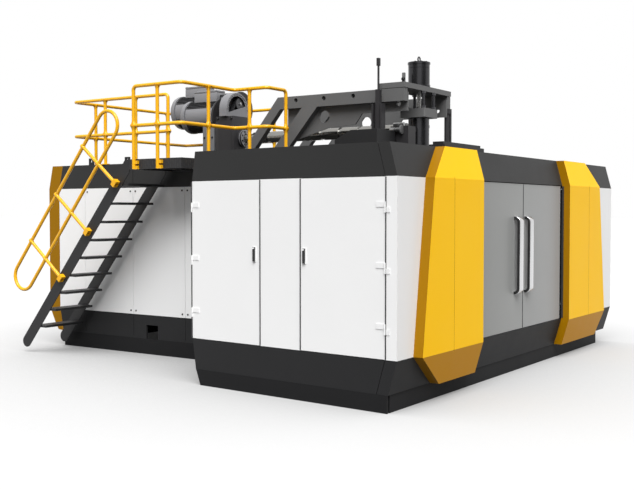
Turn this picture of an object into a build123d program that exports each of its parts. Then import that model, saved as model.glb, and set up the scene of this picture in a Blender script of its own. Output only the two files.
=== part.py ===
from build123d import *
import os
from math import acos, cos, radians, sin, tan

# Extrusion blow moulding machine: a guard cabinet with two mould stations, a rear cabinet
# with the extruder on its roof, and a stair to the roof.
# Millimetres. Origin on the floor under the parison head, +Z up, the front faces -Y.

os.makedirs("parts", exist_ok=True)

# Heights of the front cabinet
plinth_top = 170
band_fold = 493
roof_fold = 2165
roof_top = 2477

# Plan and side profile of the front cabinet
front_wall_y = -1360
plinth_front_y = -1252
band_foot_y = -1267
roof_edge_y = -1276
rear_wall_y = 1242
rear_foot_y = 1198
plinth_rake = 67
left_corner_x = -2939
right_corner_x = 3210
right_plinth_x = 2915
side_slant = 4.26
wall = 25
seam = 6
joint = 0.4
over = 1
corner_return = 127
reach = 4000

# Rear cabinet
rear_half_width = 1423
back_wall_y = 4829
back_roof_y = 4755
back_foot_y = 4767
rear_plinth_top = 200
rear_band_fold = 508
rear_roof_fold = 2150
rear_roof_top = 2466
rear_panel_pitch = 895
rear_first_seam_y = 1635
pocket_y = 2996
pocket_width = 202
pocket_z = 198
pocket_height = 180
screw_head = 22
screw_height = 6
screw_inset = 45

# Yellow pillars
pillar_depth = 100
pillar_inner_left_x = -1303
pillar_inner_right_x = 1249
pillar_seam_x = 1980
pillar_roof_x = 2035
pillar_fold_x = 2400
pillar_belly_x = 2630
pillar_foot_left_x = 2120
pillar_foot_right_x = 2510
pillar_groove = 6
rear_pillar_depth = 205
rear_pillar_width = 330
rear_pillar_foot_z = 210
rear_pillar_toe = 102
rear_pillar_shin_y = 168
rear_pillar_shin_z = 312

# Sliding front doors
door_face_y = -1352
door_leaf = 35
door_half_span = 1195
door_meeting_x = 8
door_gap = 8
right_leaf_extra = 5
jamb_gap = 12
jamb_space = 4
door_bottom_z = 506
door_top_z = 2158
track_height = 36
track_depth = 80
track_clearance = 0.5
track_upper_z = 2086
track_lower_z = 560
shoe_width = 120
shoe_wall = 14
shoe_inset = 160
shoe_space = 10
post = 80
post_front_y = -1220

# Door pulls
pull_width = 92
pull_depth = 68
pull_bar = 30
pull_bottom_z = 908
pull_top_z = 1790
pull_inner_x = 45
pull_outer_x = 257

# Side doors, their hinges and swing handles
front_door_y = (-1233, -237)
rear_door_y = (280, 1242)
side_gap = 3
knuckle = 14
knuckle_length = 50
knuckle_count = 3
hinge_pin = 7
pin_clearance = 0.05
hinge_offset = 9
handle_height = 152
handle_bottom_z = 1338
handle_width = 46
handle_inset = 30
handle_plate = 8
handle_lever = 20
handle_pivot = 16

# Landing and stair
landing_width = 749
landing_x = (-rear_half_width - landing_width, -rear_half_width)
landing_y = (1908, 2740)
landing_top_z = 2465
landing_depth = 120
landing_channel = 60
landing_deck = 8
stair_angle = 50.5
stringer_depth = 150
stringer_wall = 10
stringer_line = 3661
stringer_foot = 2830
stair_width = 632
stringer_outer_x = landing_x[0]
stringer_inner_x = stringer_outer_x + stair_width
tread_count = 9
tread_first_z = 372
tread_rise = 226
tread_width = 200
tread_thick = 30
tread_first_y = 4355

# Rails
rail_tube = 44
elbow_leg = rail_tube
upright = (0, 0, 1)
rail_sleeve = 58
rail_sleeve_length = 76
handrail_space = 33
handrail_x = stringer_outer_x - handrail_space
handrail_outer = 4380
handrail_inner = 4030
handrail_low = -2170
handrail_high = 270
handrail_strut_at = (-1720, -955, -188)
rail_top_z = 3325
rail_mid_z = 2860
landing_rail_space = 23
landing_rail_x = landing_x[0] - landing_rail_space
landing_rail_y = (1885, 2640)
landing_post_y = 2257
bridge_inset = 188
bridge_rail_x = bridge_inset - rear_half_width
bridge_post_step = 452
bridge_post_x = landing_x[0] + bridge_post_step
roof_gate_y = 1381
roof_gate_x = -857
roof_gate_post_y = 1649
roof_rail_inset = 33
roof_rail_x = (roof_rail_inset - rear_half_width, 860)
roof_rail_y = (2834, 4547)
roof_rail_posts_y = (3398, 3956)
roof_rail_posts_x = (-1004, 445)
base_flange = 110
base_flange_thick = 10
clamp_outer = 84
clamp_lug = 62
clamp_lap = 8
clamp_height = 60
clamp_block = 40
clamp_reach = 65
lug_y = (3561, 4235)
lug_width = 80
lug_height = 90
lug_thick = 25
lug_hole = 40
lug_inset = 43
lug_x = rear_half_width - lug_inset
roof_sheet = 12

# Extruder on the rear roof
gearbox_x = (-200, 200)
gearbox_y = (2737, 3055)
gearbox_top_z = 3145
gearbox_neck_x = (36, 150)
gearbox_neck_z = 3400
belt_well_gap = 25
output_ring = 234
output_ring_height = 67
guard_radius = 239
guard_centre = (0, 3239)
guard_y = (2828, 2953)
guard_wall = 6
guard_rim = 45
guard_window_line = ((-239, 3182), (239, 3322))
near_motor_x = 0
near_motor_z = 3177
near_motor_y = (3073, 3698)
near_motor_diameter = 450
far_motor_x = 460
far_motor_z = 3312
far_motor_y = (3110, 4292)
far_motor_diameter = 480
motor_shaft = 60
motor_flange = 22
motor_rim = 12
cowl_length = 90
cowl_fillet = 40
terminal_width = 190
terminal_height = 130
near_terminal_inset = 52
far_terminal_inset = 593
terminal_length = 404
terminal_foot = 150
pedestal_length = 200
pedestal_step = 38
motor_pulley_diameter = 150
gear_pulley_diameter = 170
pulley_width = 90
gear_pulley_x = 90
gear_pulley_z = 3335
groove_count = 4
belt_thick = 12
barrel_diameter = 120
barrel_bore = 60
barrel_z = 2845
barrel_front_y = 200
barrel_rear_y = 2850
heater_outer = 150
heater_length = 240
heater_count = 8
screw_diameter = 59.9
screw_root = 40

# Extruder frame
arm_outer_x = 600
arm_wall = 85
arm_bottom_z = 3133
arm_top_z = 3283
arm_front_y = -126
arm_rear_y = 1693
arm_hole = 56
arm_hole_z = 3230
arm_holes_y = (1415, 995, 572)
rear_leg_y = 1659
rear_leg_run = 0.846
middle_leg_y = (1095, 1325)
middle_leg_run = 0.89
inner_plate_x = 508
inner_plate = 20
web_top_z = 3243
web_rear_y = 1600
web_low_y = 1499
web_low_z = 2732
web_knee = (1000, 2870)
web_arch_y = (500, 595)
web_arch_low_z = 2900
web_arch_top_z = 3024
web_holes = ((1044, 3014, 150), (-4, 3109, 56))
yoke_y = (-135, 210)
yoke_z = (3290, 3352)
pad_inset = 12
jack_x = 557
jack_y = -100
jack_stay = (39, -30)
jack_diameter = 64
jack_collar = 60
jack_rim = 28
mast_x = -690
mast_y = 165
mast_half_depth = 68
mast_half_width = 45
mast_post_half = 30
mast_top_z = 3271
mast_cheek_z = 3105
mast_rod = 25
mast_rod_top_z = 3545
mast_box_height = 90
mast_box_half = (20, 16)
hood_x = (-900, -480)
hood_y = (60, 640)
hood_top_z = 2795
hood_slope = 220
cover_x = (-1649, -696)
cover_y = (-1180, -1000)
cover_top_z = 2560
cover_step = 30

# Parison head
head_diameter = 262
head_height = 303
upright_at = (-200, 100)
upright_half = (15, 18)
upright_height = 166
head_z = (yoke_z[1], yoke_z[1] + head_height)
head_rim = 26
head_stroke = 180
valve_box = 76
eye_ring = 56
eye_bar = 18
flange_width = 340
flange_z = (2978, 3085)
tie_spacing = 260
tie_diameter = 38
tie_nut = 30
tie_nut_radius = 30
flange_chamfer = 12
mandrel_rod = 50
lower_diameter = 254
die_bottom_z = 1640
die_diameter = 300
die_height = 120
mandrel_diameter = 90
mandrel_clearance = 12
roof_hole = 290
adapter_flange = 170
adapter_thick = 36
adapter_neck = 84
boss_diameter = 103
boss_reach = 60
boss_z = 2888
valve_z = 2780
valve_x = (-430, -250)
valve_y = (-90, 150)
valve_count = 3
valve_pipe = 40
valve_pipe_bury = 4

# Mould stations
station_x = 1450
bed_beam = 180
bed_half_gap = 420
bed_top_z = 360
guide_rail = 44
guide_rail_z = 40
carriage_half_length = 700
bed_length = 2 * (station_x + carriage_half_length)
carriage_half_width = 560
carriage_base = 70
carriage_gap = 0.5
shoe_block = 50
end_plate = 90
platen = 100
platen_half_width = 430
platen_z = (560, 1480)
platen_opening = 700
tie_bar = 80
tie_bar_y = 350
tie_bar_z = (650, 1390)
tie_clearance = 0.05
mould_bolt_spacing = 400
mould_bolt_hole = 22
blow_pin = 50
blow_pin_z = (1540, 2240)
blow_collar = 60
blow_guide = 160
blow_guide_z = 2000
blow_clearance = 0.05


def prism(plane, points, depth, mode=Mode.ADD):
    """Extrude a closed polygon that is drawn on a plane."""
    with BuildSketch(plane) as outline:
        with BuildLine():
            Polyline(*points, close=True)
        make_face()
    extrude(outline.sketch, amount=depth, mode=mode)


def block(x, y, z, mode=Mode.ADD):
    """Add a rectangular block given its low and high edge along each axis."""
    with Locations(((x[0] + x[1]) / 2, (y[0] + y[1]) / 2, (z[0] + z[1]) / 2)):
        Box(x[1] - x[0], y[1] - y[0], z[1] - z[0], mode=mode)


def rod(start, end, diameter, mode=Mode.ADD):
    """Add a round bar that runs from one point to another."""
    axis = Vector(end) - Vector(start)
    with BuildSketch(Plane(origin=start, z_dir=axis)) as section:
        Circle(diameter / 2)
    extrude(section.sketch, amount=axis.length, mode=mode)


def finish(part, name):
    """Label a finished part and write its file."""
    part.label = name
    export_step(part, f"parts/{name}.step")


# The two side walls stand at a small angle to the machine's axis; side is -1 left and 1 right
def wall_x(side, y):
    """X of a side wall's outer face at a depth y."""
    corner = left_corner_x if side < 0 else right_corner_x
    return corner - side * (y - front_wall_y) * tan(radians(side_slant))


def wall_point(side, y, out):
    """Plan point at depth y on a side wall, moved outwards from its face."""
    slant = radians(side_slant)
    return (wall_x(side, y) + side * out * cos(slant), y + out * sin(slant))


def wall_block(side, y, z, out, mode=Mode.ADD):
    """Add a block that lies along a side wall."""
    corners = [
        wall_point(side, y[0], out[0]),
        wall_point(side, y[1], out[0]),
        wall_point(side, y[1], out[1]),
        wall_point(side, y[0], out[1]),
    ]
    prism(Plane.XY.offset(z[0]), corners, z[1] - z[0], mode)


def cabinet_profile(inset):
    """Side profile of the front cabinet, drawn inwards by an inset."""
    return [
        (band_foot_y + inset, plinth_top),
        (front_wall_y + inset, band_fold),
        (front_wall_y + inset, roof_fold),
        (roof_edge_y + inset, roof_top),
        (rear_foot_y - inset, roof_top),
        (rear_wall_y - inset, roof_fold),
        (rear_wall_y - inset, band_fold),
        (rear_foot_y - inset, plinth_top),
    ]


def cabinet_plan(inset):
    """Plan between the two side walls, drawn inwards by an inset."""
    return [
        wall_point(-1, -reach, -inset),
        wall_point(-1, reach, -inset),
        wall_point(1, reach, -inset),
        wall_point(1, -reach, -inset),
    ]


# Hollow shell of the front cabinet, from which its panels are cut
with BuildPart() as front_space:
    prism(Plane.YZ.offset(-reach), cabinet_profile(wall), 2 * reach)
    prism(Plane.XY, cabinet_plan(wall), roof_top, Mode.INTERSECT)

with BuildPart() as front_shell:
    prism(Plane.YZ.offset(-reach), cabinet_profile(0), 2 * reach)
    prism(Plane.XY, cabinet_plan(0), roof_top, Mode.INTERSECT)
    add(front_space.part, mode=Mode.SUBTRACT)
    rear_cut = rear_half_width + joint
    block((-rear_cut, rear_cut), (0, reach), (0, roof_top), Mode.SUBTRACT)


def rear_profile(inset):
    """Side profile of the rear cabinet, drawn inwards at the back by an inset."""
    start = rear_wall_y - 2 * wall
    return [
        (start, rear_plinth_top),
        (back_foot_y - inset, rear_plinth_top),
        (back_wall_y - inset, rear_band_fold),
        (back_wall_y - inset, rear_roof_fold),
        (back_roof_y - inset, rear_roof_top),
        (start, rear_roof_top),
    ]


# Hollow shell of the rear cabinet
with BuildPart() as rear_shell:
    prism(Plane.YZ.offset(-rear_half_width), rear_profile(0), 2 * rear_half_width)
    inner_half = rear_half_width - wall
    prism(Plane.YZ.offset(-inner_half), rear_profile(wall), 2 * inner_half, Mode.SUBTRACT)

rear_seams_y = [rear_first_seam_y + i * rear_panel_pitch for i in range(4)]


def rear_joint_cuts(low, high):
    """Part the back wall from the side walls of the rear cabinet."""
    cut_y = back_foot_y - 3 * wall
    block((-reach, reach), (cut_y, cut_y + joint), (low, high), Mode.SUBTRACT)


def front_corner_seams(low, high, low_y, high_y):
    """Cut the leaning seam behind each front corner between two heights."""
    strip = [
        (low_y + corner_return, low),
        (high_y + corner_return, high),
        (high_y + corner_return + seam, high),
        (low_y + corner_return + seam, low),
    ]
    prism(Plane.YZ.offset(-reach), strip, 2 * reach, Mode.SUBTRACT)


# Plinth plates under both cabinets
with BuildPart() as plinth:
    front_plate_x = (wall_x(-1, plinth_front_y) + wall, right_plinth_x)
    block(front_plate_x, (plinth_front_y, plinth_front_y + wall), (0, plinth_top - joint))
    front_end_y = plinth_front_y + wall + joint
    rake = [
        (front_end_y, 0),
        (rear_foot_y - plinth_rake, 0),
        (rear_foot_y, plinth_top - joint),
        (front_end_y, plinth_top - joint),
    ]
    prism(Plane.YZ.offset(right_plinth_x - wall), rake, wall)
    back_spans = (
        (wall_x(-1, rear_wall_y) + wall, -rear_half_width - joint),
        (rear_half_width + joint, right_plinth_x - wall - joint),
    )
    for start_x, end_x in back_spans:
        back_plate = [
            (rear_foot_y - plinth_rake - wall, 0),
            (rear_foot_y - plinth_rake, 0),
            (rear_foot_y, plinth_top - joint),
            (rear_foot_y - wall, plinth_top - joint),
        ]
        prism(Plane.YZ.offset(start_x), back_plate, end_x - start_x)
    left_end = (plinth_front_y - 2 * wall, rear_wall_y)
    wall_block(-1, left_end, (0, plinth_top), (-2 * wall, 2 * wall), Mode.SUBTRACT)
    rear_plinth_z = (0, rear_plinth_top - joint)
    for side in (-1, 1):
        plate_x = sorted((side * rear_half_width, side * (rear_half_width - wall)))
        block(plate_x, (rear_foot_y - plinth_rake, back_foot_y - 2 * wall - joint), rear_plinth_z)
    block((-rear_half_width, rear_half_width), (back_foot_y - 2 * wall, back_foot_y - wall), rear_plinth_z)

with BuildPart() as plinth_left:
    prism(Plane.YZ.offset(-reach), [
        (plinth_front_y, 0),
        (rear_foot_y - plinth_rake, 0),
        (rear_foot_y, plinth_top - joint),
        (plinth_front_y, plinth_top - joint),
    ], reach)
    wall_block(-1, (-reach, reach), (0, plinth_top), (-wall, 0), Mode.INTERSECT)

with BuildPart() as plinth_plates:
    add(plinth.part)
    add(plinth_left.part)
finish(plinth_plates.part, "plinth")


def band(part, low, high, low_y, high_y):
    """Keep one height of the front shell and part it into straight sheets."""
    add(part)
    block((-reach, reach), (-reach, reach), (low, high), Mode.INTERSECT)
    front_corner_seams(low, high, low_y, high_y)
    cut_y = rear_foot_y - 3 * wall
    block((-reach, reach), (cut_y, cut_y + joint), (low, high), Mode.SUBTRACT)


# Lower dark band
with BuildPart() as base_band_front:
    band(front_shell.part, plinth_top, band_fold - joint, band_foot_y, front_wall_y)

with BuildPart() as base_band_rear:
    add(rear_shell.part)
    base_z = (rear_plinth_top, rear_band_fold - joint)
    block((-reach, reach), (rear_wall_y, 2 * reach), base_z, Mode.INTERSECT)
    groove_z = (rear_plinth_top + wall, rear_band_fold)
    for seam_y in rear_seams_y:
        block((-reach, reach), (seam_y - seam / 2, seam_y + seam / 2), groove_z, Mode.SUBTRACT)
        block((-reach, reach), (seam_y - joint, seam_y), (0, rear_band_fold), Mode.SUBTRACT)
    rear_joint_cuts(rear_plinth_top, rear_band_fold)
    pocket_span = (pocket_y, pocket_y + pocket_width)
    block((-reach, 0), pocket_span, (pocket_z, pocket_z + pocket_height), Mode.SUBTRACT)

with BuildPart() as base_band:
    add(base_band_front.part)
    add(base_band_rear.part)
finish(base_band.part, "base_band")

# Upper dark band
with BuildPart() as top_band_front:
    band(front_shell.part, roof_fold + joint, roof_top, front_wall_y, roof_edge_y)

with BuildPart() as top_band_rear:
    add(rear_shell.part)
    upper_z = (rear_roof_fold + joint, rear_roof_top)
    block((-reach, reach), (rear_wall_y, 2 * reach), upper_z, Mode.INTERSECT)
    band_seam_y = rear_seams_y[2]
    block((-reach, reach), (band_seam_y - seam / 2, band_seam_y + seam / 2), (0, roof_top), Mode.SUBTRACT)
    rear_joint_cuts(rear_roof_fold, rear_roof_top)

with BuildPart() as top_band:
    add(top_band_front.part)
    add(top_band_rear.part)
finish(top_band.part, "top_band")

# Roof sheets, let in between the upper bands, with the lifting lugs of the rear roof
with BuildPart() as roof_sheets:
    prism(Plane.YZ.offset(-reach), [
        (roof_edge_y + wall + joint, roof_top - roof_sheet),
        (roof_edge_y + wall + joint, roof_top),
        (rear_foot_y - wall - joint, roof_top),
        (rear_foot_y - wall - joint, roof_top - roof_sheet),
    ], 2 * reach)
    prism(Plane.XY, cabinet_plan(wall + joint), roof_top, Mode.INTERSECT)
    rod((0, 0, roof_fold), (0, 0, roof_top), roof_hole, Mode.SUBTRACT)
    inner_half = rear_half_width - wall - joint
    sheet_z = (rear_roof_top - roof_sheet, rear_roof_top)
    block((-inner_half, inner_half), (rear_foot_y, back_roof_y - wall - joint), sheet_z)
    lug_z = (rear_roof_top, rear_roof_top + lug_height)
    for lug_centre in lug_y:
        for x in (-lug_x, lug_x):
            lug_span_y = (lug_centre - lug_width / 2, lug_centre + lug_width / 2)
            block((x - lug_thick / 2, x + lug_thick / 2), lug_span_y, lug_z)
            hole_z = rear_roof_top + lug_height - lug_hole
            hole_start = (x - lug_thick, lug_centre, hole_z)
            rod(hole_start, (x + lug_thick, lug_centre, hole_z), lug_hole, Mode.SUBTRACT)
finish(roof_sheets.part, "roof_sheets")

# White panels that are fixed to the front cabinet
with BuildPart() as front_panels:
    add(front_shell.part)
    block((-reach, reach), (-reach, reach), (band_fold, roof_fold), Mode.INTERSECT)
    front_cut = (2 * wall - pillar_fold_x, pillar_fold_x - wall)
    block(front_cut, (-reach, 0), (0, roof_top), Mode.SUBTRACT)
    for side in (-1, 1):
        for door in (front_door_y, rear_door_y):
            wall_block(side, door, (0, roof_top), (-wall, wall), Mode.SUBTRACT)
finish(front_panels.part, "front_panels")

# White panels along the rear cabinet
with BuildPart() as rear_panels:
    add(rear_shell.part)
    block((-reach, reach), (rear_wall_y, 2 * reach), (rear_band_fold, rear_roof_fold), Mode.INTERSECT)
    for seam_y in rear_seams_y:
        block((-reach, reach), (seam_y - seam / 2, seam_y + seam / 2), (0, roof_top), Mode.SUBTRACT)
    rear_joint_cuts(rear_band_fold, rear_roof_fold)
finish(rear_panels.part, "rear_panels")

# Round screw heads beside each seam of the rear cabinet
with BuildPart() as panel_screws:
    for side in (-1, 1):
        for seam_y in rear_seams_y:
            for height in (rear_band_fold + screw_inset, rear_roof_fold - screw_inset):
                for step in (-screw_inset, screw_inset):
                    start = (side * rear_half_width, seam_y + step, height)
                    end = (side * (rear_half_width + screw_height), seam_y + step, height)
                    rod(start, end, screw_head)


def pillar_front(side):
    """Front view of a yellow front pillar."""
    inner = -pillar_inner_left_x if side < 0 else pillar_inner_right_x
    foot = pillar_foot_left_x if side < 0 else pillar_foot_right_x
    return [
        (side * inner, plinth_top),
        (side * inner, roof_top),
        (side * pillar_roof_x, roof_top),
        (side * pillar_fold_x, roof_fold),
        (side * pillar_belly_x, band_fold),
        (side * foot, plinth_top),
    ]


# Yellow folded pillars on the front wall
with BuildPart() as front_pillars:
    for side in (-1, 1):
        with BuildPart(mode=Mode.PRIVATE) as pillar:
            prism(Plane.YZ.offset(-reach), [
                (band_foot_y - pillar_depth, plinth_top),
                (front_wall_y - pillar_depth, band_fold),
                (front_wall_y - pillar_depth, roof_fold),
                (roof_edge_y - pillar_depth, roof_top),
                (roof_edge_y, roof_top),
                (front_wall_y, roof_fold),
                (front_wall_y, band_fold),
                (band_foot_y, plinth_top),
            ], 2 * reach)
            prism(Plane.XZ.offset(-reach), pillar_front(side), 2 * reach, Mode.INTERSECT)
            groove = side * pillar_seam_x
            groove_x = (groove - pillar_groove / 2, groove + pillar_groove / 2)
            groove_y = (front_wall_y - 2 * pillar_depth, front_wall_y - pillar_depth + pillar_groove)
            block(groove_x, groove_y, (0, roof_top), Mode.SUBTRACT)
        add(pillar.part)
finish(front_pillars.part, "front_pillars")

# Yellow pillars on the back corners
with BuildPart() as rear_pillars:
    for side in (-1, 1):
        inner = side * (rear_half_width - rear_pillar_width)
        low_x = min(inner, side * rear_half_width)
        prism(Plane.YZ.offset(low_x), [
            (back_foot_y, rear_plinth_top),
            (back_foot_y + rear_pillar_toe, rear_pillar_foot_z),
            (back_foot_y + rear_pillar_shin_y, rear_pillar_shin_z),
            (back_wall_y + rear_pillar_depth, rear_band_fold),
            (back_wall_y + rear_pillar_depth, rear_roof_fold),
            (back_roof_y + rear_pillar_depth, rear_roof_top),
            (back_roof_y, rear_roof_top),
            (back_wall_y, rear_roof_fold),
            (back_wall_y, rear_band_fold),
        ], rear_pillar_width)
finish(rear_pillars.part, "rear_pillars")

# Inner steel frame: posts, jambs, roof beams, door rails and the guides of the blow pins
jamb_x = (door_half_span + jamb_gap, door_half_span + jamb_gap + post)
post_back_y = post_front_y + post
rear_post_y = (rear_foot_y - 4 * wall - post, rear_foot_y - 4 * wall - joint)
beam_z = (roof_top - roof_sheet - post, roof_top - roof_sheet - joint)
post_z = (0, beam_z[0] - joint)
track_x = pillar_fold_x - 2 * wall
track_y = (post_front_y - track_depth, post_front_y - joint)
shoe_reach = shoe_wall + track_clearance
jamb_z = (track_lower_z + track_height + shoe_reach + shoe_space, track_upper_z - shoe_reach - shoe_space)
with BuildPart() as cabinet_frame:
    for side in (-1, 1):
        jamb = sorted((side * jamb_x[0], side * jamb_x[1]))
        block(jamb, (post_front_y, post_back_y), post_z)
        block(jamb, (post_front_y - post + jamb_space, post_front_y), jamb_z)
        block(jamb, rear_post_y, post_z)
        corner = right_plinth_x - 3 * wall if side > 0 else -wall_x(side, 0) - 5 * wall
        corner_post = sorted((side * corner, side * (corner - post)))
        block(corner_post, (post_front_y, post_back_y), post_z)
        block(corner_post, rear_post_y, post_z)
    beam_x = (wall_x(-1, rear_wall_y) + 3 * wall, right_plinth_x - 3 * wall)
    block(beam_x, (post_front_y, post_back_y), beam_z)
    block(beam_x, rear_post_y, beam_z)
    for centre_x in (-station_x, station_x):
        beam_span = (centre_x - post / 2, centre_x + post / 2)
        block(beam_span, (post_back_y + joint, rear_post_y[0] - joint), beam_z)
        guide_foot = (centre_x, 0, blow_guide_z)
        rod(guide_foot, (centre_x, 0, beam_z[0] - joint), blow_guide)
        rod(guide_foot, (centre_x, 0, beam_z[0]), blow_pin + 2 * blow_clearance, Mode.SUBTRACT)
    for low_z in (track_upper_z, track_lower_z):
        block((-track_x, track_x), track_y, (low_z, low_z + track_height))
finish(cabinet_frame.part, "cabinet_frame")


def sliding_door(side):
    """Add a door leaf and the four shoes that hold it on its rails."""
    near = door_gap / 2
    low_x = door_meeting_x + near if side > 0 else -door_half_span
    high_x = door_half_span + right_leaf_extra if side > 0 else door_meeting_x - near
    back = door_face_y + door_leaf
    block((low_x, high_x), (door_face_y, back), (door_bottom_z, door_top_z))
    hold = track_y[0] + track_depth / 3
    for low_z in (track_upper_z, track_lower_z):
        for centre_x in (low_x + shoe_inset, high_x - shoe_inset):
            span = (centre_x - shoe_width / 2, centre_x + shoe_width / 2)
            shoe_z = (low_z - shoe_reach, low_z + track_height + shoe_reach)
            block(span, (back, track_y[0] - track_clearance), shoe_z)
            for start_z in (shoe_z[0], shoe_z[1] - shoe_wall):
                block(span, (track_y[0] - track_clearance, hold), (start_z, start_z + shoe_wall))


# Grey sliding doors
with BuildPart() as sliding_door_left:
    sliding_door(-1)
finish(sliding_door_left.part, "sliding_door_left")

with BuildPart() as sliding_door_right:
    sliding_door(1)
finish(sliding_door_right.part, "sliding_door_right")


def door_pull(low_x):
    """Add a bow-shaped strap pull that stands on a door face."""
    bend = pull_depth - pull_bar / 4
    with BuildSketch(Plane.YZ.offset(low_x)) as bow:
        with BuildLine():
            FilletPolyline(
                (door_face_y, pull_bottom_z),
                (door_face_y - pull_depth, pull_bottom_z),
                (door_face_y - pull_depth, pull_top_z),
                (door_face_y, pull_top_z),
                radius=bend,
            )
            Line((door_face_y, pull_top_z), (door_face_y, pull_top_z - pull_bar))
            FilletPolyline(
                (door_face_y, pull_top_z - pull_bar),
                (door_face_y - pull_depth + pull_bar, pull_top_z - pull_bar),
                (door_face_y - pull_depth + pull_bar, pull_bottom_z + pull_bar),
                (door_face_y, pull_bottom_z + pull_bar),
                radius=bend - pull_bar,
            )
            Line((door_face_y, pull_bottom_z + pull_bar), (door_face_y, pull_bottom_z))
        make_face()
    extrude(bow.sketch, amount=pull_width)


# Chrome pulls
with BuildPart() as door_pull_left:
    door_pull(-pull_outer_x)
finish(door_pull_left.part, "door_pull_left")

with BuildPart() as door_pull_right:
    door_pull(pull_inner_x)
finish(door_pull_right.part, "door_pull_right")

# Hinged side doors. A front leaf hangs on its front edge, a rear leaf on its rear edge
knuckle_pitch = (roof_fold - band_fold) / knuckle_count
knuckle_levels = [band_fold + knuckle_pitch * (i + 0.5) - knuckle_length for i in range(knuckle_count)]
strap_thick = hinge_offset - knuckle / 4


def hinge_point(side, hinge_y):
    """Plan point of a side door's hinge axis."""
    return wall_point(side, hinge_y, hinge_offset)


def side_door(side, leaf_y, hinge_y):
    """Add a side door leaf with the upper half of each of its hinges."""
    inward = 1 if hinge_y < sum(leaf_y) / 2 else -1
    top = roof_fold - side_gap
    edges = (leaf_y[0] + side_gap, leaf_y[1] - side_gap)
    wall_block(side, edges, (band_fold + side_gap, top), (-wall, 0))
    x, y = hinge_point(side, hinge_y)
    for low in knuckle_levels:
        middle = low + knuckle_length
        strap = sorted((hinge_y, hinge_y + inward * 2 * knuckle_length))
        wall_block(side, strap, (middle, middle + knuckle_length), (0, strap_thick))
        rod((x, y, middle), (x, y, middle + knuckle_length), knuckle)
        pin_top = (x, y, middle + knuckle_length + over)
        rod((x, y, middle - over), pin_top, hinge_pin + 2 * pin_clearance, Mode.SUBTRACT)


door_table = (
    ("left_front", -1, front_door_y, front_door_y[0], front_door_y[1] - handle_inset - handle_width / 2),
    ("left_rear", -1, rear_door_y, rear_door_y[1], rear_door_y[0] + handle_inset + handle_width),
    ("right_front", 1, front_door_y, front_door_y[0], front_door_y[1] - handle_inset - handle_width / 2),
    ("right_rear", 1, rear_door_y, rear_door_y[1], rear_door_y[0] + handle_inset + handle_width),
)
lever_pivot_z = handle_bottom_z + handle_height - handle_pivot
for door_name, side, leaf_y, hinge_y, handle_y in door_table:
    with BuildPart() as door:
        side_door(side, leaf_y, hinge_y)
        plate_y = (handle_y - handle_width / 2, handle_y + handle_width / 2)
        wall_block(side, plate_y, (handle_bottom_z, handle_bottom_z + handle_height), (0, handle_plate))
        pin_start = (*wall_point(side, handle_y, 0), lever_pivot_z)
        pin_end = (*wall_point(side, handle_y, handle_plate + handle_lever + 2 * over), lever_pivot_z)
        rod(pin_start, pin_end, handle_pivot)
    finish(door.part, f"side_door_{door_name}")
    with BuildPart() as handle:
        lever_half = handle_width / 3
        lever_y = (handle_y - lever_half, handle_y + lever_half)
        lever_z = (handle_bottom_z + side_gap, handle_bottom_z + handle_height - side_gap)
        wall_block(side, lever_y, lever_z, (handle_plate + joint, handle_plate + handle_lever))
        rod(pin_start, pin_end, handle_pivot + 2 * pin_clearance, Mode.SUBTRACT)
    finish(handle.part, f"swing_handle_{door_name}")

# Lower hinge halves with their pins, fixed to the cabinet, and the screw heads of the rear panels
with BuildPart() as hinge_halves:
    for door_name, side, leaf_y, hinge_y, handle_y in door_table:
        x, y = hinge_point(side, hinge_y)
        for low in knuckle_levels:
            rod((x, y, low), (x, y, low + knuckle_length - joint), knuckle)
            rod((x, y, low), (x, y, low + 2 * knuckle_length), hinge_pin)
            strap_z = (low, low + knuckle_length - joint)
            if hinge_y < 0:
                wall_block(side, (hinge_y - knuckle_length, hinge_y), strap_z, (0, strap_thick))
            else:
                strap_x = sorted((x, wall_x(side, rear_wall_y) - side * 2 * knuckle_length))
                block(strap_x, (rear_wall_y, rear_wall_y + strap_thick), strap_z)

with BuildPart() as cabinet_fixings:
    add(hinge_halves.part)
    add(panel_screws.part)
finish(cabinet_fixings.part, "cabinet_fixings")

# Landing at the head of the stair: a channel frame with a deck, bolted to the rear cabinet
landing_low_z = landing_top_z - landing_depth
with BuildPart() as landing_frame:
    block(landing_x, landing_y, (landing_top_z - landing_deck, landing_top_z))
    for low_x in (landing_x[0], landing_x[1] - landing_channel):
        block((low_x, low_x + landing_channel), landing_y, (landing_low_z, landing_top_z))
    for low_y in (landing_y[0], sum(landing_y) / 2 - landing_channel / 2, landing_y[1] - landing_channel):
        block(landing_x, (low_y, low_y + landing_channel), (landing_low_z, landing_top_z))
finish(landing_frame.part, "landing_frame")

# Slope of the stair in the YZ plane: along points down the flight, up points square to it
slope = radians(stair_angle)
along = (-cos(slope), sin(slope))
normal = (sin(slope), cos(slope))


def stair_point(down, up):
    """Point (y, z) at a distance along and square to the flight."""
    return (down * along[0] + up * normal[0], down * along[1] + up * normal[1])


def flight_plane(x):
    """Plane on a side of the flight, local X along it and local Y square to it."""
    return Plane(origin=(x, 0, 0), x_dir=(0, *along), z_dir=(-1, 0, 0))


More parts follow.
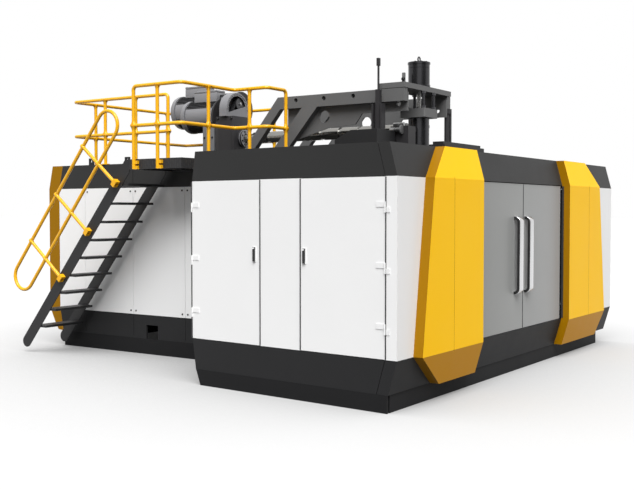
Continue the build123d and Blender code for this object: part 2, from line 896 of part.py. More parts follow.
with BuildPart() as stair_stringers:
    for outer_x in (stringer_outer_x, stringer_inner_x):
        with BuildPart(mode=Mode.PRIVATE) as stringer:
            head = (landing_top_z - stringer_line * normal[1]) / along[1]
            length = stringer_foot + head
            with BuildSketch(flight_plane(outer_x + stringer_wall)) as bar:
                with Locations((head - length / 2, stringer_line)):
                    SlotOverall(length + stringer_depth, stringer_depth)
            extrude(bar.sketch, amount=stringer_wall)
            stringer_span = (outer_x - over, outer_x + stringer_wall + over)
            stringer_y = (landing_y[1] + joint, 2 * reach)
            block(stringer_span, stringer_y, (0, landing_top_z - joint), Mode.INTERSECT)
        add(stringer.part)
finish(stair_stringers.part, "stair_stringers")

# Nine flat treads between the stringers
tread_x = (stringer_outer_x + stringer_wall + joint, stringer_inner_x - joint)
tread_going = tread_rise * cos(slope) / sin(slope)
with BuildPart() as stair_treads:
    for i in range(tread_count):
        nose_y = tread_first_y - i * tread_going
        top_z = tread_first_z + i * tread_rise
        block(tread_x, (nose_y - tread_width / 2, nose_y + tread_width / 2), (top_z - tread_thick, top_z))
finish(stair_treads.part, "stair_treads")


def sleeve(point, axis, gap, mode=Mode.ADD):
    """Add the tee sleeve of a rail joint around a post that runs along an axis."""
    half = Vector(axis).normalized() * (rail_sleeve_length / 2 + gap)
    middle = Vector(point)
    rod(middle - half, middle + half, rail_sleeve + 2 * gap, mode)


def rail_bar(start, end, fittings, axis):
    """Add a rail tube that stops at the sleeves it meets."""
    with BuildPart(mode=Mode.PRIVATE) as tube:
        rod(start, end, rail_tube)
        for point in fittings:
            sleeve(point, axis, joint, Mode.SUBTRACT)
    add(tube.part)


def towards(point, other, length):
    """Return the place at a length from a point on the way to another one."""
    return Vector(point) + (Vector(other) - Vector(point)).normalized() * length


def rail_elbow(point, neighbours):
    """Add a bend of the rail: a ball with a short tube towards each neighbour."""
    with BuildPart(mode=Mode.PRIVATE) as elbow:
        with Locations(point):
            Sphere(rail_tube / 2)
        for neighbour in neighbours:
            rod(point, towards(point, neighbour, elbow_leg), rail_tube)
    add(elbow.part)


def rail_run(points, axis, bends=()):
    """Add tubes between neighbouring points: they stop at the sleeves and at the bends."""
    for pair in zip(points, points[1:]):
        ends = []
        for point, other in (pair, pair[::-1]):
            ends.append(towards(point, other, elbow_leg + joint) if point in bends else point)
        rail_bar(*ends, [point for point in pair if point not in bends], axis)
    for point in bends:
        rail_elbow(point, bends[point])


def rail_post(x, y, foot_z, sleeve_levels):
    """Add an upright tube up to the top rail, or to the bend where no sleeve holds that rail."""
    top_z = rail_top_z if rail_top_z in sleeve_levels else rail_top_z - elbow_leg - joint
    rod((x, y, foot_z), (x, y, top_z), rail_tube)
    for level in sleeve_levels:
        sleeve((x, y, level), upright, 0)


def rail_level(path, corners, level):
    """Add the rail of one level; the top one also bends down into its two end posts."""
    points = [(*point, level) for point in path]
    bends = {}
    for i in range(1, len(path) - 1):
        if path[i] in corners:
            bends[points[i]] = (points[i - 1], points[i + 1])
    if level == rail_top_z:
        for end, beside in ((points[0], points[1]), (points[-1], points[-2])):
            bends[end] = (beside, (*end[:2], 0))
    rail_run(points, upright, bends)


# Handrail of the stair: a closed loop with round ends, on three struts
loop_line = (handrail_outer + handrail_inner) / 2
with BuildPart() as stair_handrail:
    strut_axis = (0, *normal)
    strut_gap = 2 * joint
    for strut in handrail_strut_at:
        foot = (handrail_x, *stair_point(strut, stringer_line))
        head = (handrail_x, *stair_point(strut, handrail_outer))
        rod(foot, head, rail_tube)
        for line in (handrail_inner, handrail_outer):
            sleeve((handrail_x, *stair_point(strut, line)), strut_axis, 0)
    for line in (handrail_inner, handrail_outer):
        points = [(handrail_x, *stair_point(strut, line)) for strut in handrail_strut_at]
        low_end = (handrail_x, *stair_point(handrail_low + strut_gap, line))
        high_end = (handrail_x, *stair_point(handrail_high - strut_gap, line))
        rail_bar(low_end, points[0], points[:1], strut_axis)
        rail_run(points, strut_axis)
        rail_bar(points[-1], high_end, points[-1:], strut_axis)
    for end, turn in ((handrail_low, 1), (handrail_high, -1)):
        with BuildPart(mode=Mode.PRIVATE) as bend:
            bend_start = (handrail_x, *stair_point(end, handrail_outer))
            with BuildSketch(Plane(origin=bend_start, z_dir=(0, *along))) as tube:
                Circle(rail_tube / 2)
            centre = (handrail_x, *stair_point(end, loop_line))
            revolve(tube.sketch, Axis(centre, (-turn, 0, 0)), revolution_arc=180)
        add(bend.part)
finish(stair_handrail.part, "stair_handrail")

# Rail around the landing and its bridge to the roof gate
levels = (rail_mid_z, rail_top_z)
roof_foot_z = rear_roof_top + base_flange_thick + joint
landing_corners = [
    (landing_rail_x, landing_rail_y[0]),
    (bridge_rail_x, landing_rail_y[0]),
    (bridge_rail_x, roof_gate_y),
]
landing_path = [
    (landing_rail_x, landing_rail_y[1]),
    (landing_rail_x, landing_post_y),
    landing_corners[0],
    (bridge_post_x, landing_rail_y[0]),
    landing_corners[1],
    (bridge_rail_x, roof_gate_post_y),
    landing_corners[2],
    (roof_gate_x, roof_gate_y),
]
with BuildPart() as landing_rail:
    rail_post(*landing_path[0], landing_low_z, levels[:1])
    rail_post(*landing_path[1], landing_low_z, levels)
    rail_post(*landing_path[3], landing_low_z, levels)
    rail_post(*landing_path[5], roof_foot_z, levels)
    rail_post(*landing_path[-1], roof_foot_z, levels[:1])
    for level in levels:
        rail_level(landing_path, landing_corners, level)
finish(landing_rail.part, "landing_rail")

# Rail around the extruder on the rear roof
roof_corners = [(x, roof_rail_y[1]) for x in roof_rail_x]
roof_path = (
    [(roof_rail_x[0], roof_rail_y[0])]
    + [(roof_rail_x[0], post_y) for post_y in roof_rail_posts_y]
    + [roof_corners[0]]
    + [(post_x, roof_rail_y[1]) for post_x in roof_rail_posts_x]
    + [roof_corners[1]]
    + [(roof_rail_x[1], post_y) for post_y in reversed(roof_rail_posts_y)]
    + [(roof_rail_x[1], roof_rail_y[0])]
)
roof_posts = [point for point in roof_path if point not in roof_corners]
with BuildPart() as roof_rail:
    for post_point in roof_posts:
        rail_post(*post_point, roof_foot_z, levels if post_point in roof_posts[1:-1] else levels[:1])
    for level in levels:
        rail_level(roof_path, roof_corners, level)
finish(roof_rail.part, "roof_rail")

# Round foot flanges on the roof, clamps on the landing and on the stair's outer stringer
with BuildPart() as rail_fittings:
    for x, y in roof_posts + [landing_path[5], landing_path[-1]]:
        rod((x, y, rear_roof_top), (x, y, rear_roof_top + base_flange_thick), base_flange)
    for post_y in (landing_rail_y[1], landing_post_y):
        for low_z in (landing_low_z, landing_top_z - clamp_height):
            with BuildPart(mode=Mode.PRIVATE) as clamp:
                clamp_y = (post_y - clamp_lug, post_y - clamp_lap)
                clamp_x = (landing_rail_x - clamp_lap, landing_x[0])
                block(clamp_x, clamp_y, (low_z, low_z + clamp_block))
                clamp_foot = (landing_rail_x, post_y, low_z - over)
                clamp_head = (landing_rail_x, post_y, low_z + clamp_height)
                rod(clamp_foot, clamp_head, rail_tube + joint, Mode.SUBTRACT)
            add(clamp.part)
    for strut in handrail_strut_at:
        clamp_plane = flight_plane(stringer_outer_x)
        with BuildPart(mode=Mode.PRIVATE) as clamp:
            with BuildSketch(clamp_plane) as pad:
                with Locations((strut, stringer_line)):
                    Rectangle(clamp_outer, clamp_height)
            extrude(pad.sketch, amount=clamp_reach)
            foot = (handrail_x, *stair_point(strut, stringer_line - clamp_height))
            head = (handrail_x, *stair_point(strut, stringer_line + clamp_height))
            rod(foot, head, rail_tube + joint, Mode.SUBTRACT)
        add(clamp.part)
finish(rail_fittings.part, "rail_fittings")

# Reduction gearbox: housing with the belt well, output ring around the barrel, neck behind the belt guard
with BuildPart() as gearbox:
    block(gearbox_x, gearbox_y, (rear_roof_top, gearbox_top_z))
    block(gearbox_neck_x, (guard_y[1] + joint, gearbox_y[1]), (gearbox_top_z, gearbox_neck_z))
    ring_front_y = gearbox_y[0] - output_ring_height
    rod((0, ring_front_y, barrel_z), (0, gearbox_y[0], barrel_z), output_ring)
    well_half = motor_pulley_diameter / 2 + belt_well_gap
    well_x = (near_motor_x - well_half, near_motor_x + well_half)
    well_y = (guard_y[0] + guard_wall, guard_y[1] - guard_wall)
    block(well_x, well_y, (near_motor_z - well_half, gearbox_top_z), Mode.SUBTRACT)
    input_end = (gear_pulley_x, gearbox_y[1], gear_pulley_z)
    input_start = (gear_pulley_x, guard_y[1], gear_pulley_z)
    rod(input_start, input_end, motor_shaft + 2 * pin_clearance, Mode.SUBTRACT)
    barrel_end = (0, barrel_rear_y, barrel_z)
    rod((0, ring_front_y - over, barrel_z), barrel_end, barrel_diameter + joint, Mode.SUBTRACT)


def guard_arch(shrink, y, mode=Mode.ADD):
    """Add the arched body of the belt guard between two depths, drawn inwards by a shrink."""
    radius = guard_radius - shrink
    foot_z = gearbox_top_z + joint
    x, z = guard_centre
    with BuildSketch(Plane.XZ.offset(-y[1])) as face:
        with Locations((x, z)):
            Circle(radius)
        with Locations((x, (foot_z + z) / 2)):
            Rectangle(2 * radius, z - foot_z)
        with Locations((x, foot_z - radius)):
            Rectangle(2 * radius, 2 * radius, mode=Mode.SUBTRACT)
    extrude(face.sketch, amount=y[1] - y[0], mode=mode)


# Arched belt guard on the gearbox, open over the belt well, with an inspection window in its face
with BuildPart() as belt_guard:
    guard_arch(0, guard_y)
    guard_arch(guard_wall, (guard_y[0] + guard_wall, guard_y[1] - guard_wall), Mode.SUBTRACT)
    with BuildSketch(Plane.XZ.offset(-guard_y[0] - guard_wall - over)) as window:
        with Locations(guard_centre):
            Circle(guard_radius - guard_rim)
        with BuildLine():
            left_low, right_low = guard_window_line
            window_top = guard_centre[1] + guard_radius
            Polyline(left_low, right_low, (right_low[0], window_top), (left_low[0], window_top), close=True)
        make_face(mode=Mode.INTERSECT)
    extrude(window.sketch, amount=guard_wall + 2 * over, mode=Mode.SUBTRACT)
    for x, z in ((near_motor_x, near_motor_z), (gear_pulley_x, gear_pulley_z)):
        shaft_hole = motor_shaft + 4 * guard_wall
        rod((x, guard_y[0] + guard_wall, z), (x, guard_y[1] + over, z), shaft_hole, Mode.SUBTRACT)
finish(belt_guard.part, "belt_guard")

# Grooved pulleys of the belt drive
pulley_y = (guard_y[0] + 4 * guard_wall, guard_y[0] + 4 * guard_wall + pulley_width)
groove_pitch = pulley_width / groove_count
groove_centres = [pulley_y[0] + groove_pitch * (i + 0.5) for i in range(groove_count)]


def pulley(x, z, diameter, shaft_end_y):
    """Add a grooved pulley with its shaft."""
    rod((x, pulley_y[0], z), (x, pulley_y[1], z), diameter)
    rod((x, pulley_y[1], z), (x, shaft_end_y, z), motor_shaft)
    for middle in groove_centres:
        with BuildPart(mode=Mode.PRIVATE) as ring:
            rod((x, middle - groove_pitch / 4, z), (x, middle + groove_pitch / 4, z), diameter + 2 * over)
            core_end = (x, middle + groove_pitch, z)
            rod((x, middle - groove_pitch, z), core_end, diameter - 2 * belt_thick, Mode.SUBTRACT)
        add(ring.part, mode=Mode.SUBTRACT)


shaft_depth = near_motor_y[0] + motor_shaft
with BuildPart() as motor_pulley:
    pulley(near_motor_x, near_motor_z, motor_pulley_diameter, shaft_depth)
finish(motor_pulley.part, "motor_pulley")

with BuildPart() as gear_pulley:
    pulley(gear_pulley_x, gear_pulley_z, gear_pulley_diameter, gearbox_y[1])
finish(gear_pulley.part, "gear_pulley")

# Two electric motors: flange, body, fan cowl, foot and terminal box, with the pedestals below
motor_table = (
    (near_motor_x, near_motor_z, near_motor_y, near_motor_diameter, near_terminal_inset),
    (far_motor_x, far_motor_z, far_motor_y, far_motor_diameter, far_terminal_inset),
)
with BuildPart() as extruder_motors:
    for x, z, span_y, diameter, terminal_inset in motor_table:
        rod((x, span_y[0], z), (x, span_y[0] + motor_flange, z), diameter + motor_rim)
        rod((x, span_y[0] + motor_flange, z), (x, span_y[1] - cowl_length, z), diameter)
        with BuildPart(mode=Mode.PRIVATE) as cowl:
            rod((x, span_y[1] - cowl_length, z), (x, span_y[1], z), diameter + motor_rim)
            fillet(cowl.edges().filter_by(GeomType.CIRCLE).sort_by(Axis.Y)[-1], cowl_fillet)
        add(cowl.part)
        box_y = (span_y[0] + terminal_inset, span_y[0] + terminal_inset + terminal_length)
        box_z = (z + terminal_foot, z + diameter / 2 + terminal_height)
        block((x - terminal_width / 2, x + terminal_width / 2), box_y, box_z)
    shaft_front = (near_motor_x, guard_y[0], near_motor_z)
    shaft_back = (near_motor_x, shaft_depth, near_motor_z)
    rod(shaft_front, shaft_back, motor_shaft + 2 * pin_clearance, Mode.SUBTRACT)
finish(extruder_motors.part, "extruder_motors")

with BuildPart() as motor_pedestals:
    for x, z, span_y, diameter, terminal_inset in motor_table:
        with BuildPart(mode=Mode.PRIVATE) as pedestal:
            half = diameter / 2 - pedestal_step
            low_y = span_y[0] + motor_flange + joint
            block((x - half, x + half), (low_y, low_y + pedestal_length), (rear_roof_top, z))
            saddle_end = (x, low_y + pedestal_length + over, z)
            rod((x, low_y - over, z), saddle_end, diameter + joint, Mode.SUBTRACT)
        add(pedestal.part)

with BuildPart() as drive_stands:
    add(gearbox.part)
    add(motor_pedestals.part)
finish(drive_stands.part, "drive_stands")


def belt_outline(shrink):
    """Sketch the band around both pulleys, drawn inwards by a shrink."""
    low = Vector(near_motor_x, near_motor_z)
    high = Vector(gear_pulley_x, gear_pulley_z)
    low_radius = motor_pulley_diameter / 2 - shrink
    high_radius = gear_pulley_diameter / 2 - shrink
    unit = (high - low).normalized()
    cosine = (low_radius - high_radius) / (high - low).length
    sine = sin(acos(cosine))
    sides = []
    for turn in (1, -1):
        square = Vector(-unit.Y, unit.X) * (turn * sine) + unit * cosine
        sides.append((low + square * low_radius, high + square * high_radius))
    with BuildSketch(Plane.XZ) as band_face:
        with Locations(low):
            Circle(low_radius)
        with Locations(high):
            Circle(high_radius)
        with BuildLine():
            Polyline(sides[0][0], sides[0][1], sides[1][1], sides[1][0], close=True)
        make_face()
    return band_face.sketch


# Belts between the two pulleys
with BuildPart() as drive_belts:
    half_belt = groove_pitch / 4 - joint
    for middle in groove_centres:
        with BuildPart(mode=Mode.PRIVATE) as belt:
            extrude(belt_outline(0).moved(Location((0, middle + half_belt, 0))), amount=2 * half_belt)
            hollow = belt_outline(belt_thick - joint).moved(Location((0, middle + reach, 0)))
            extrude(hollow, amount=2 * reach, mode=Mode.SUBTRACT)
        add(belt.part)
finish(drive_belts.part, "drive_belts")

# Extruder barrel from the gearbox to the head, with its adapter
head_radius = lower_diameter / 2
with BuildPart() as extruder_barrel:
    rod((0, barrel_front_y, barrel_z), (0, barrel_rear_y - joint, barrel_z), barrel_diameter)
    rod((0, 0, barrel_z), (0, barrel_front_y, barrel_z), adapter_neck)
    for start_y in (barrel_front_y - adapter_thick, barrel_front_y + joint):
        rod((0, start_y, barrel_z), (0, start_y + adapter_thick, barrel_z), adapter_flange)
    rod((0, 0, die_bottom_z), (0, 0, flange_z[1]), lower_diameter + 2 * joint, Mode.SUBTRACT)
    rod((0, barrel_front_y, barrel_z), (0, barrel_rear_y, barrel_z), barrel_bore, Mode.SUBTRACT)
finish(extruder_barrel.part, "extruder_barrel")

# Heater bands along the barrel
heater_pitch = (gearbox_y[0] - barrel_front_y - heater_length) / heater_count
with BuildPart() as heater_bands:
    for i in range(heater_count):
        start_y = barrel_front_y + 2 * adapter_thick + i * heater_pitch
        with BuildPart(mode=Mode.PRIVATE) as heater:
            rod((0, start_y, barrel_z), (0, start_y + heater_length, barrel_z), heater_outer)
            cut_end = (0, start_y + heater_length + over, barrel_z)
            rod((0, start_y - over, barrel_z), cut_end, barrel_diameter + joint, Mode.SUBTRACT)
        add(heater.part)
finish(heater_bands.part, "heater_bands")

# Screw inside the barrel: a full-size shank at the rear and a slimmer flighted front
screw_start_y = barrel_front_y + adapter_thick
screw_shank_y = gearbox_y[0] - adapter_flange
with BuildPart() as extruder_screw:
    rod((0, screw_start_y, barrel_z), (0, screw_shank_y, barrel_z), screw_root)
    rod((0, screw_shank_y, barrel_z), (0, barrel_rear_y - joint, barrel_z), screw_diameter)
finish(extruder_screw.part, "extruder_screw")


def leg_end(point, foot_z, run):
    """Point where a leg's edge that starts at a point meets a height."""
    return (point[0] + (point[1] - foot_z) * run, foot_z)


# Two box arms that carry the head, each on a rear leg and a middle leg
with BuildPart() as extruder_arms:
    for side in (-1, 1):
        low_x = min(side * arm_outer_x, side * (arm_outer_x - arm_wall))
        with BuildPart(mode=Mode.PRIVATE) as beam:
            block((low_x, low_x + arm_wall), (arm_front_y, arm_rear_y), (arm_bottom_z, arm_top_z))
            for hole_y in arm_holes_y:
                hole_start = (low_x - over, hole_y, arm_hole_z)
                rod(hole_start, (low_x + arm_wall + over, hole_y, arm_hole_z), arm_hole, Mode.SUBTRACT)
        add(beam.part)
        plane = Plane.YZ.offset(low_x)
        rear_leg = [
            (arm_rear_y + joint, arm_top_z),
            leg_end((arm_rear_y + joint, arm_top_z), rear_roof_top, rear_leg_run),
            leg_end((rear_leg_y, arm_bottom_z - joint), rear_roof_top, rear_leg_run),
            (rear_leg_y, arm_bottom_z - joint),
            (arm_rear_y + joint, arm_bottom_z - joint),
        ]
        prism(plane, rear_leg, arm_wall)
        middle_leg = [
            (middle_leg_y[0], arm_bottom_z - joint),
            (middle_leg_y[1], arm_bottom_z - joint),
            leg_end((middle_leg_y[1], arm_bottom_z - joint), rear_roof_top, middle_leg_run),
            leg_end((middle_leg_y[0], arm_bottom_z - joint), rear_roof_top, middle_leg_run),
        ]
        prism(plane, middle_leg, arm_wall)
finish(extruder_arms.part, "extruder_arms")

# Deep plates inside the arms, with an arch and round holes
with BuildPart() as arm_plates:
    for side in (-1, 1):
        low_x = min(side * inner_plate_x, side * (inner_plate_x - inner_plate))
        with BuildPart(mode=Mode.PRIVATE) as web:
            prism(Plane.YZ.offset(low_x), [
                (arm_front_y, web_top_z),
                (web_rear_y, web_top_z),
                (web_rear_y, web_low_z),
                (web_low_y, web_low_z),
                (web_knee[0], web_knee[1]),
                (web_arch_y[1], web_arch_low_z),
                (web_arch_y[0], web_arch_top_z),
                (arm_front_y, web_arch_top_z),
            ], inner_plate)
            for hole_y, hole_z, hole in web_holes:
                hole_start = (low_x - over, hole_y, hole_z)
                rod(hole_start, (low_x + inner_plate + over, hole_y, hole_z), hole, Mode.SUBTRACT)
            edge = side * (arm_outer_x - arm_wall) - side * joint
            spacer_x = sorted((side * inner_plate_x, edge))
            block(spacer_x, (arm_front_y, web_rear_y), (arm_bottom_z, arm_bottom_z + inner_plate))
        add(web.part)
finish(arm_plates.part, "arm_plates")

# Yoke plate across the arms, with skirts and pads
with BuildPart() as yoke_plate:
    block((-arm_outer_x, arm_outer_x), yoke_y, yoke_z)
    for side in (-1, 1):
        pad_x = sorted((side * (arm_outer_x - pad_inset), side * (arm_outer_x - pad_inset - arm_wall)))
        block(pad_x, (arm_front_y, yoke_y[1] - inner_plate), (arm_top_z + joint, yoke_z[0]))
    rod((0, 0, yoke_z[0] - over), (0, 0, yoke_z[1] + over), mandrel_rod + 2 * pin_clearance, Mode.SUBTRACT)
finish(yoke_plate.part, "yoke_plate")

# Screw jack under the front end of the right arm
with BuildPart() as jack_column:
    rod((jack_x, jack_y, roof_top), (jack_x, jack_y, arm_bottom_z - joint), jack_diameter)
    for low_z in (roof_top, arm_bottom_z - joint - jack_collar):
        rod((jack_x, jack_y, low_z), (jack_x, jack_y, low_z + jack_collar), jack_diameter + jack_rim)
    stay_at = (jack_x + jack_stay[0], jack_y + jack_stay[1])
    rod((*stay_at, roof_top), (*stay_at, arm_bottom_z - joint), jack_diameter / 2)
finish(jack_column.part, "jack_column")

# Mast beside the head: two cheek plates, a post and a thin rod with a box on top
mast_foot_z = hood_top_z + joint
mast_span_x = (mast_x - mast_half_width, mast_x + mast_half_width)
with BuildPart() as head_mast:
    for side in (-1, 1):
        cheek_y = sorted((mast_y + side * mast_half_depth, mast_y + side * (mast_half_depth - inner_plate)))
        block(mast_span_x, cheek_y, (mast_foot_z, mast_cheek_z))
    post_x = (mast_x - mast_half_width / 2, mast_x + mast_half_width / 2)
    block(post_x, (mast_y - mast_post_half, mast_y + mast_post_half), (mast_foot_z, mast_top_z))
    foot_y = (mast_y - mast_half_depth, mast_y + mast_half_depth)
    block(mast_span_x, foot_y, (mast_foot_z, mast_foot_z + inner_plate))
    rod((mast_x, mast_y, mast_top_z), (mast_x, mast_y, mast_rod_top_z), mast_rod)
    box_x = (mast_x - mast_box_half[0], mast_x + mast_box_half[0])
    box_y = (mast_y - mast_box_half[1], mast_y + mast_box_half[1])
    block(box_x, box_y, (mast_rod_top_z, mast_rod_top_z + mast_box_height))
finish(head_mast.part, "head_mast")

# Dark hood on the front roof, with a sloped rear end
with BuildPart() as roof_hood:
    prism(Plane.YZ.offset(hood_x[0]), [
        (hood_y[0], roof_top),
        (hood_y[0], hood_top_z),
        (hood_y[1] - hood_slope, hood_top_z),
        (hood_y[1], hood_top_z - hood_slope / 2),
        (hood_y[1], roof_top),
    ], hood_x[1] - hood_x[0])
finish(roof_hood.part, "roof_hood")

# Low cover plate along the front edge of the roof, in two steps
with BuildPart() as roof_covers:
    block(cover_x, cover_y, (roof_top, cover_top_z - cover_step))
    upper_x = (cover_x[0] + cover_step, cover_x[1] - cover_step)
    upper_y = (cover_y[0] + cover_step, cover_y[1] - cover_step)
    block(upper_x, upper_y, (cover_top_z - cover_step, cover_top_z))
finish(roof_covers.part, "roof_covers")

# Upper cylinder of the head with its lifting eye, and a small upright bracket beside it
with BuildPart() as head_cylinder:
    rod((0, 0, head_z[0]), (0, 0, head_z[1]), head_diameter)
    for low_z in (head_z[0], head_z[1] - head_rim):
        rod((0, 0, low_z), (0, 0, low_z + head_rim), head_diameter + head_rim / 2)
    eye_z = head_z[1] + eye_ring / 2
    rod((0, -eye_bar / 2, eye_z), (0, eye_bar / 2, eye_z), eye_ring + eye_bar)
    rod((0, -eye_bar, eye_z), (0, eye_bar, eye_z), eye_ring - eye_bar, Mode.SUBTRACT)
    upright_x = (upright_at[0] - upright_half[0], upright_at[0] + upright_half[0])
    upright_y = (upright_at[1] - upright_half[1], upright_at[1] + upright_half[1])
    block(upright_x, upright_y, (head_z[0], head_z[0] + upright_height))
    stroke_top = (0, 0, head_z[0] + head_stroke)
    rod((0, 0, head_z[0] - over), stroke_top, mandrel_rod + 2 * pin_clearance, Mode.SUBTRACT)
finish(head_cylinder.part, "head_cylinder")

# Four tie rods between the yoke and the head flange
with BuildPart() as head_tie_rods:
    half = tie_spacing / 2
    for x in (-half, half):
        for y in (-half, half):
            rod((x, y, flange_z[1]), (x, y, yoke_z[0]), tie_diameter)
            for low_z in (flange_z[1], yoke_z[0] - tie_nut):
                with BuildSketch(Plane.XY.offset(low_z)) as nut:
                    with Locations((x, y)):
                        RegularPolygon(tie_nut_radius, 6)
                extrude(nut.sketch, amount=tie_nut)
finish(head_tie_rods.part, "head_tie_rods")

with BuildPart() as head_flange:
    half = flange_width / 2
    block((-half, half), (-half, half), flange_z)
    chamfer(head_flange.edges().filter_by(Axis.Z), flange_chamfer)
    rod_hole = mandrel_rod + 2 * pin_clearance
    rod((0, 0, flange_z[0] - over), (0, 0, flange_z[1] + over), rod_hole, Mode.SUBTRACT)
finish(head_flange.part, "head_flange")

# Lower barrel of the head with the die, hanging through the roof
with BuildPart() as head_barrel:
    rod((0, 0, die_bottom_z + die_height), (0, 0, flange_z[0] - joint), lower_diameter)
    rod((0, 0, die_bottom_z), (0, 0, die_bottom_z + die_height), die_diameter)
    rod((head_radius - boss_diameter / 2, 0, boss_z), (head_radius + boss_reach, 0, boss_z), boss_diameter)
    die_face = (0, 0, die_bottom_z - over)
    rod(die_face, (0, 0, flange_z[0]), mandrel_rod + 2 * pin_clearance, Mode.SUBTRACT)
    rod(die_face, (0, 0, die_bottom_z + die_height), mandrel_diameter + 2 * mandrel_clearance, Mode.SUBTRACT)
finish(head_barrel.part, "head_barrel")

# Mandrel and its rod, which set the wall of the parison
with BuildPart() as head_mandrel:
    rod((0, 0, die_bottom_z), (0, 0, head_z[0] + head_stroke / 2), mandrel_rod)
    rod((0, 0, die_bottom_z), (0, 0, die_bottom_z + die_height / 2), mandrel_diameter)
finish(head_mandrel.part, "head_mandrel")

# Valve and pipe group on the left of the head
with BuildPart() as head_valves:
    block(valve_x, valve_y, (roof_top, valve_z + valve_box))
    for i in range(valve_count):
        pipe_y = valve_y[0] + (i + 0.5) * (valve_y[1] - valve_y[0]) / valve_count
        pipe_z = valve_z + valve_box / 2
        rod((valve_x[1], pipe_y, pipe_z), (valve_pipe_bury - head_radius, pipe_y / 4, pipe_z), valve_pipe)
    rod((0, 0, die_bottom_z), (0, 0, flange_z[1]), lower_diameter + joint, Mode.SUBTRACT)
finish(head_valves.part, "head_valves")

# Bed of the mould stations: beams, cross members and guide rails
rail_top = bed_top_z + guide_rail_z
with BuildPart() as clamp_bed:
    for side in (-1, 1):
        centre_y = side * bed_half_gap
        beam_y = (centre_y - bed_beam / 2, centre_y + bed_beam / 2)
        block((-bed_length / 2, bed_length / 2), beam_y, (0, bed_top_z))
    inner_edge = bed_half_gap - bed_beam / 2 - joint
    end_x = bed_length / 2 - bed_beam / 2
    for centre_x in (-end_x, -station_x / 2, 0, station_x / 2, end_x):
        block((centre_x - bed_beam / 2, centre_x + bed_beam / 2), (-inner_edge, inner_edge), (0, bed_beam))
    for side in (-1, 1):
        centre_y = side * bed_half_gap
        rail_y = (centre_y - guide_rail / 2, centre_y + guide_rail / 2)
        block((-bed_length / 2, bed_length / 2), rail_y, (bed_top_z, rail_top))
    bed_edge = bed_half_gap + bed_beam / 2 + joint
    for side in (-1, 1):
        tie_x = sorted((side * jamb_x[0], side * jamb_x[1]))
        block(tie_x, (post_back_y + joint, -bed_edge), (0, post))
        block(tie_x, (bed_edge, rear_post_y[0] - joint), (0, post))
finish(clamp_bed.part, "clamp_bed")

tie_places = [(y, z) for y in (-tie_bar_y, tie_bar_y) for z in tie_bar_z]
for name, side in (("left", -1), ("right", 1)):
    centre_x = side * station_x
    with BuildPart() as carriage:
        low_x = centre_x - carriage_half_length
        high_x = centre_x + carriage_half_length
        base_z = rail_top + carriage_gap
        block((low_x, high_x), (-carriage_half_width, carriage_half_width), (base_z, base_z + carriage_base))
        for start_x in (low_x, high_x - end_plate):
            block((start_x, start_x + end_plate), (-platen_half_width, platen_half_width),
                  (base_z + carriage_base, platen_z[1]))
        for y, z in tie_places:
            rod((low_x, y, z), (high_x, y, z), tie_bar)
        for low_side in (-1, 1):
            for step in (-1, 1):
                shoe_y = low_side * bed_half_gap + step * (guide_rail / 2 + carriage_gap + shoe_block / 2)
                block((low_x, high_x), (shoe_y - shoe_block / 2, shoe_y + shoe_block / 2),
                      (bed_top_z + carriage_gap, base_z))
    finish(carriage.part, f"carriage_{name}")
    for place, direction in (("outer", side), ("inner", -side)):
        face_x = centre_x + direction * platen_opening / 2
        platen_x = sorted((face_x, face_x + direction * platen))
        with BuildPart() as plate:
            block(platen_x, (-platen_half_width, platen_half_width), platen_z)
            for y, z in tie_places:
                hole_start = (platen_x[0] - over, y, z)
                rod(hole_start, (platen_x[1] + over, y, z), tie_bar + 2 * tie_clearance, Mode.SUBTRACT)
            half = mould_bolt_spacing / 2
            for y in (-half, half):
                for z in (sum(platen_z) / 2 - half, sum(platen_z) / 2 + half):
                    hole_start = (platen_x[0] - over, y, z)
                    rod(hole_start, (platen_x[1] + over, y, z), mould_bolt_hole, Mode.SUBTRACT)
        finish(plate.part, f"platen_{name}_{place}")
    with BuildPart() as pin:
        rod((centre_x, 0, blow_pin_z[0]), (centre_x, 0, blow_pin_z[1]), blow_pin)
        collar_top = (centre_x, 0, blow_pin_z[0] + blow_collar)
        rod((centre_x, 0, blow_pin_z[0]), collar_top, blow_pin + blow_collar / 2)
    finish(pin.part, f"blow_pin_{name}")
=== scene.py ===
import logging
from collections.abc import Callable, Iterator, Sequence
from contextlib import contextmanager
from dataclasses import dataclass, field
from enum import Enum
from math import cos, pi, radians, sin, tan

import bmesh
import bpy
from mathutils import Matrix, Vector


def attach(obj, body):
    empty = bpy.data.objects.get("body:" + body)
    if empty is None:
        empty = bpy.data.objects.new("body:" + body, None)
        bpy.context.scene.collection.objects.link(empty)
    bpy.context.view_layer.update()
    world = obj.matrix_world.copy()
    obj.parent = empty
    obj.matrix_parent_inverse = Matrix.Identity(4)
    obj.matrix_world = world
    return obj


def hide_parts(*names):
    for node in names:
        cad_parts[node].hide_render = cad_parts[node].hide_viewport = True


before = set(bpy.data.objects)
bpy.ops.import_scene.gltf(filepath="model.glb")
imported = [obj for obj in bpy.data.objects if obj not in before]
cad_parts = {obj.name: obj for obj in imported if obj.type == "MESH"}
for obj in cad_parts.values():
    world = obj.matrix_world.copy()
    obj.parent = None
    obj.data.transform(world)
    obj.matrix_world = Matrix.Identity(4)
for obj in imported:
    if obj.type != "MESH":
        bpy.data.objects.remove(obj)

# Looks of the blow moulding machine: finishes for every CAD node, detailed pieces, studio and camera.
# Metres. The front faces -Y, +Z is up and the parison head hangs on the Z axis.

LOG = logging.getLogger("blow_moulding_machine")
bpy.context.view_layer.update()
MACHINE = "machine"

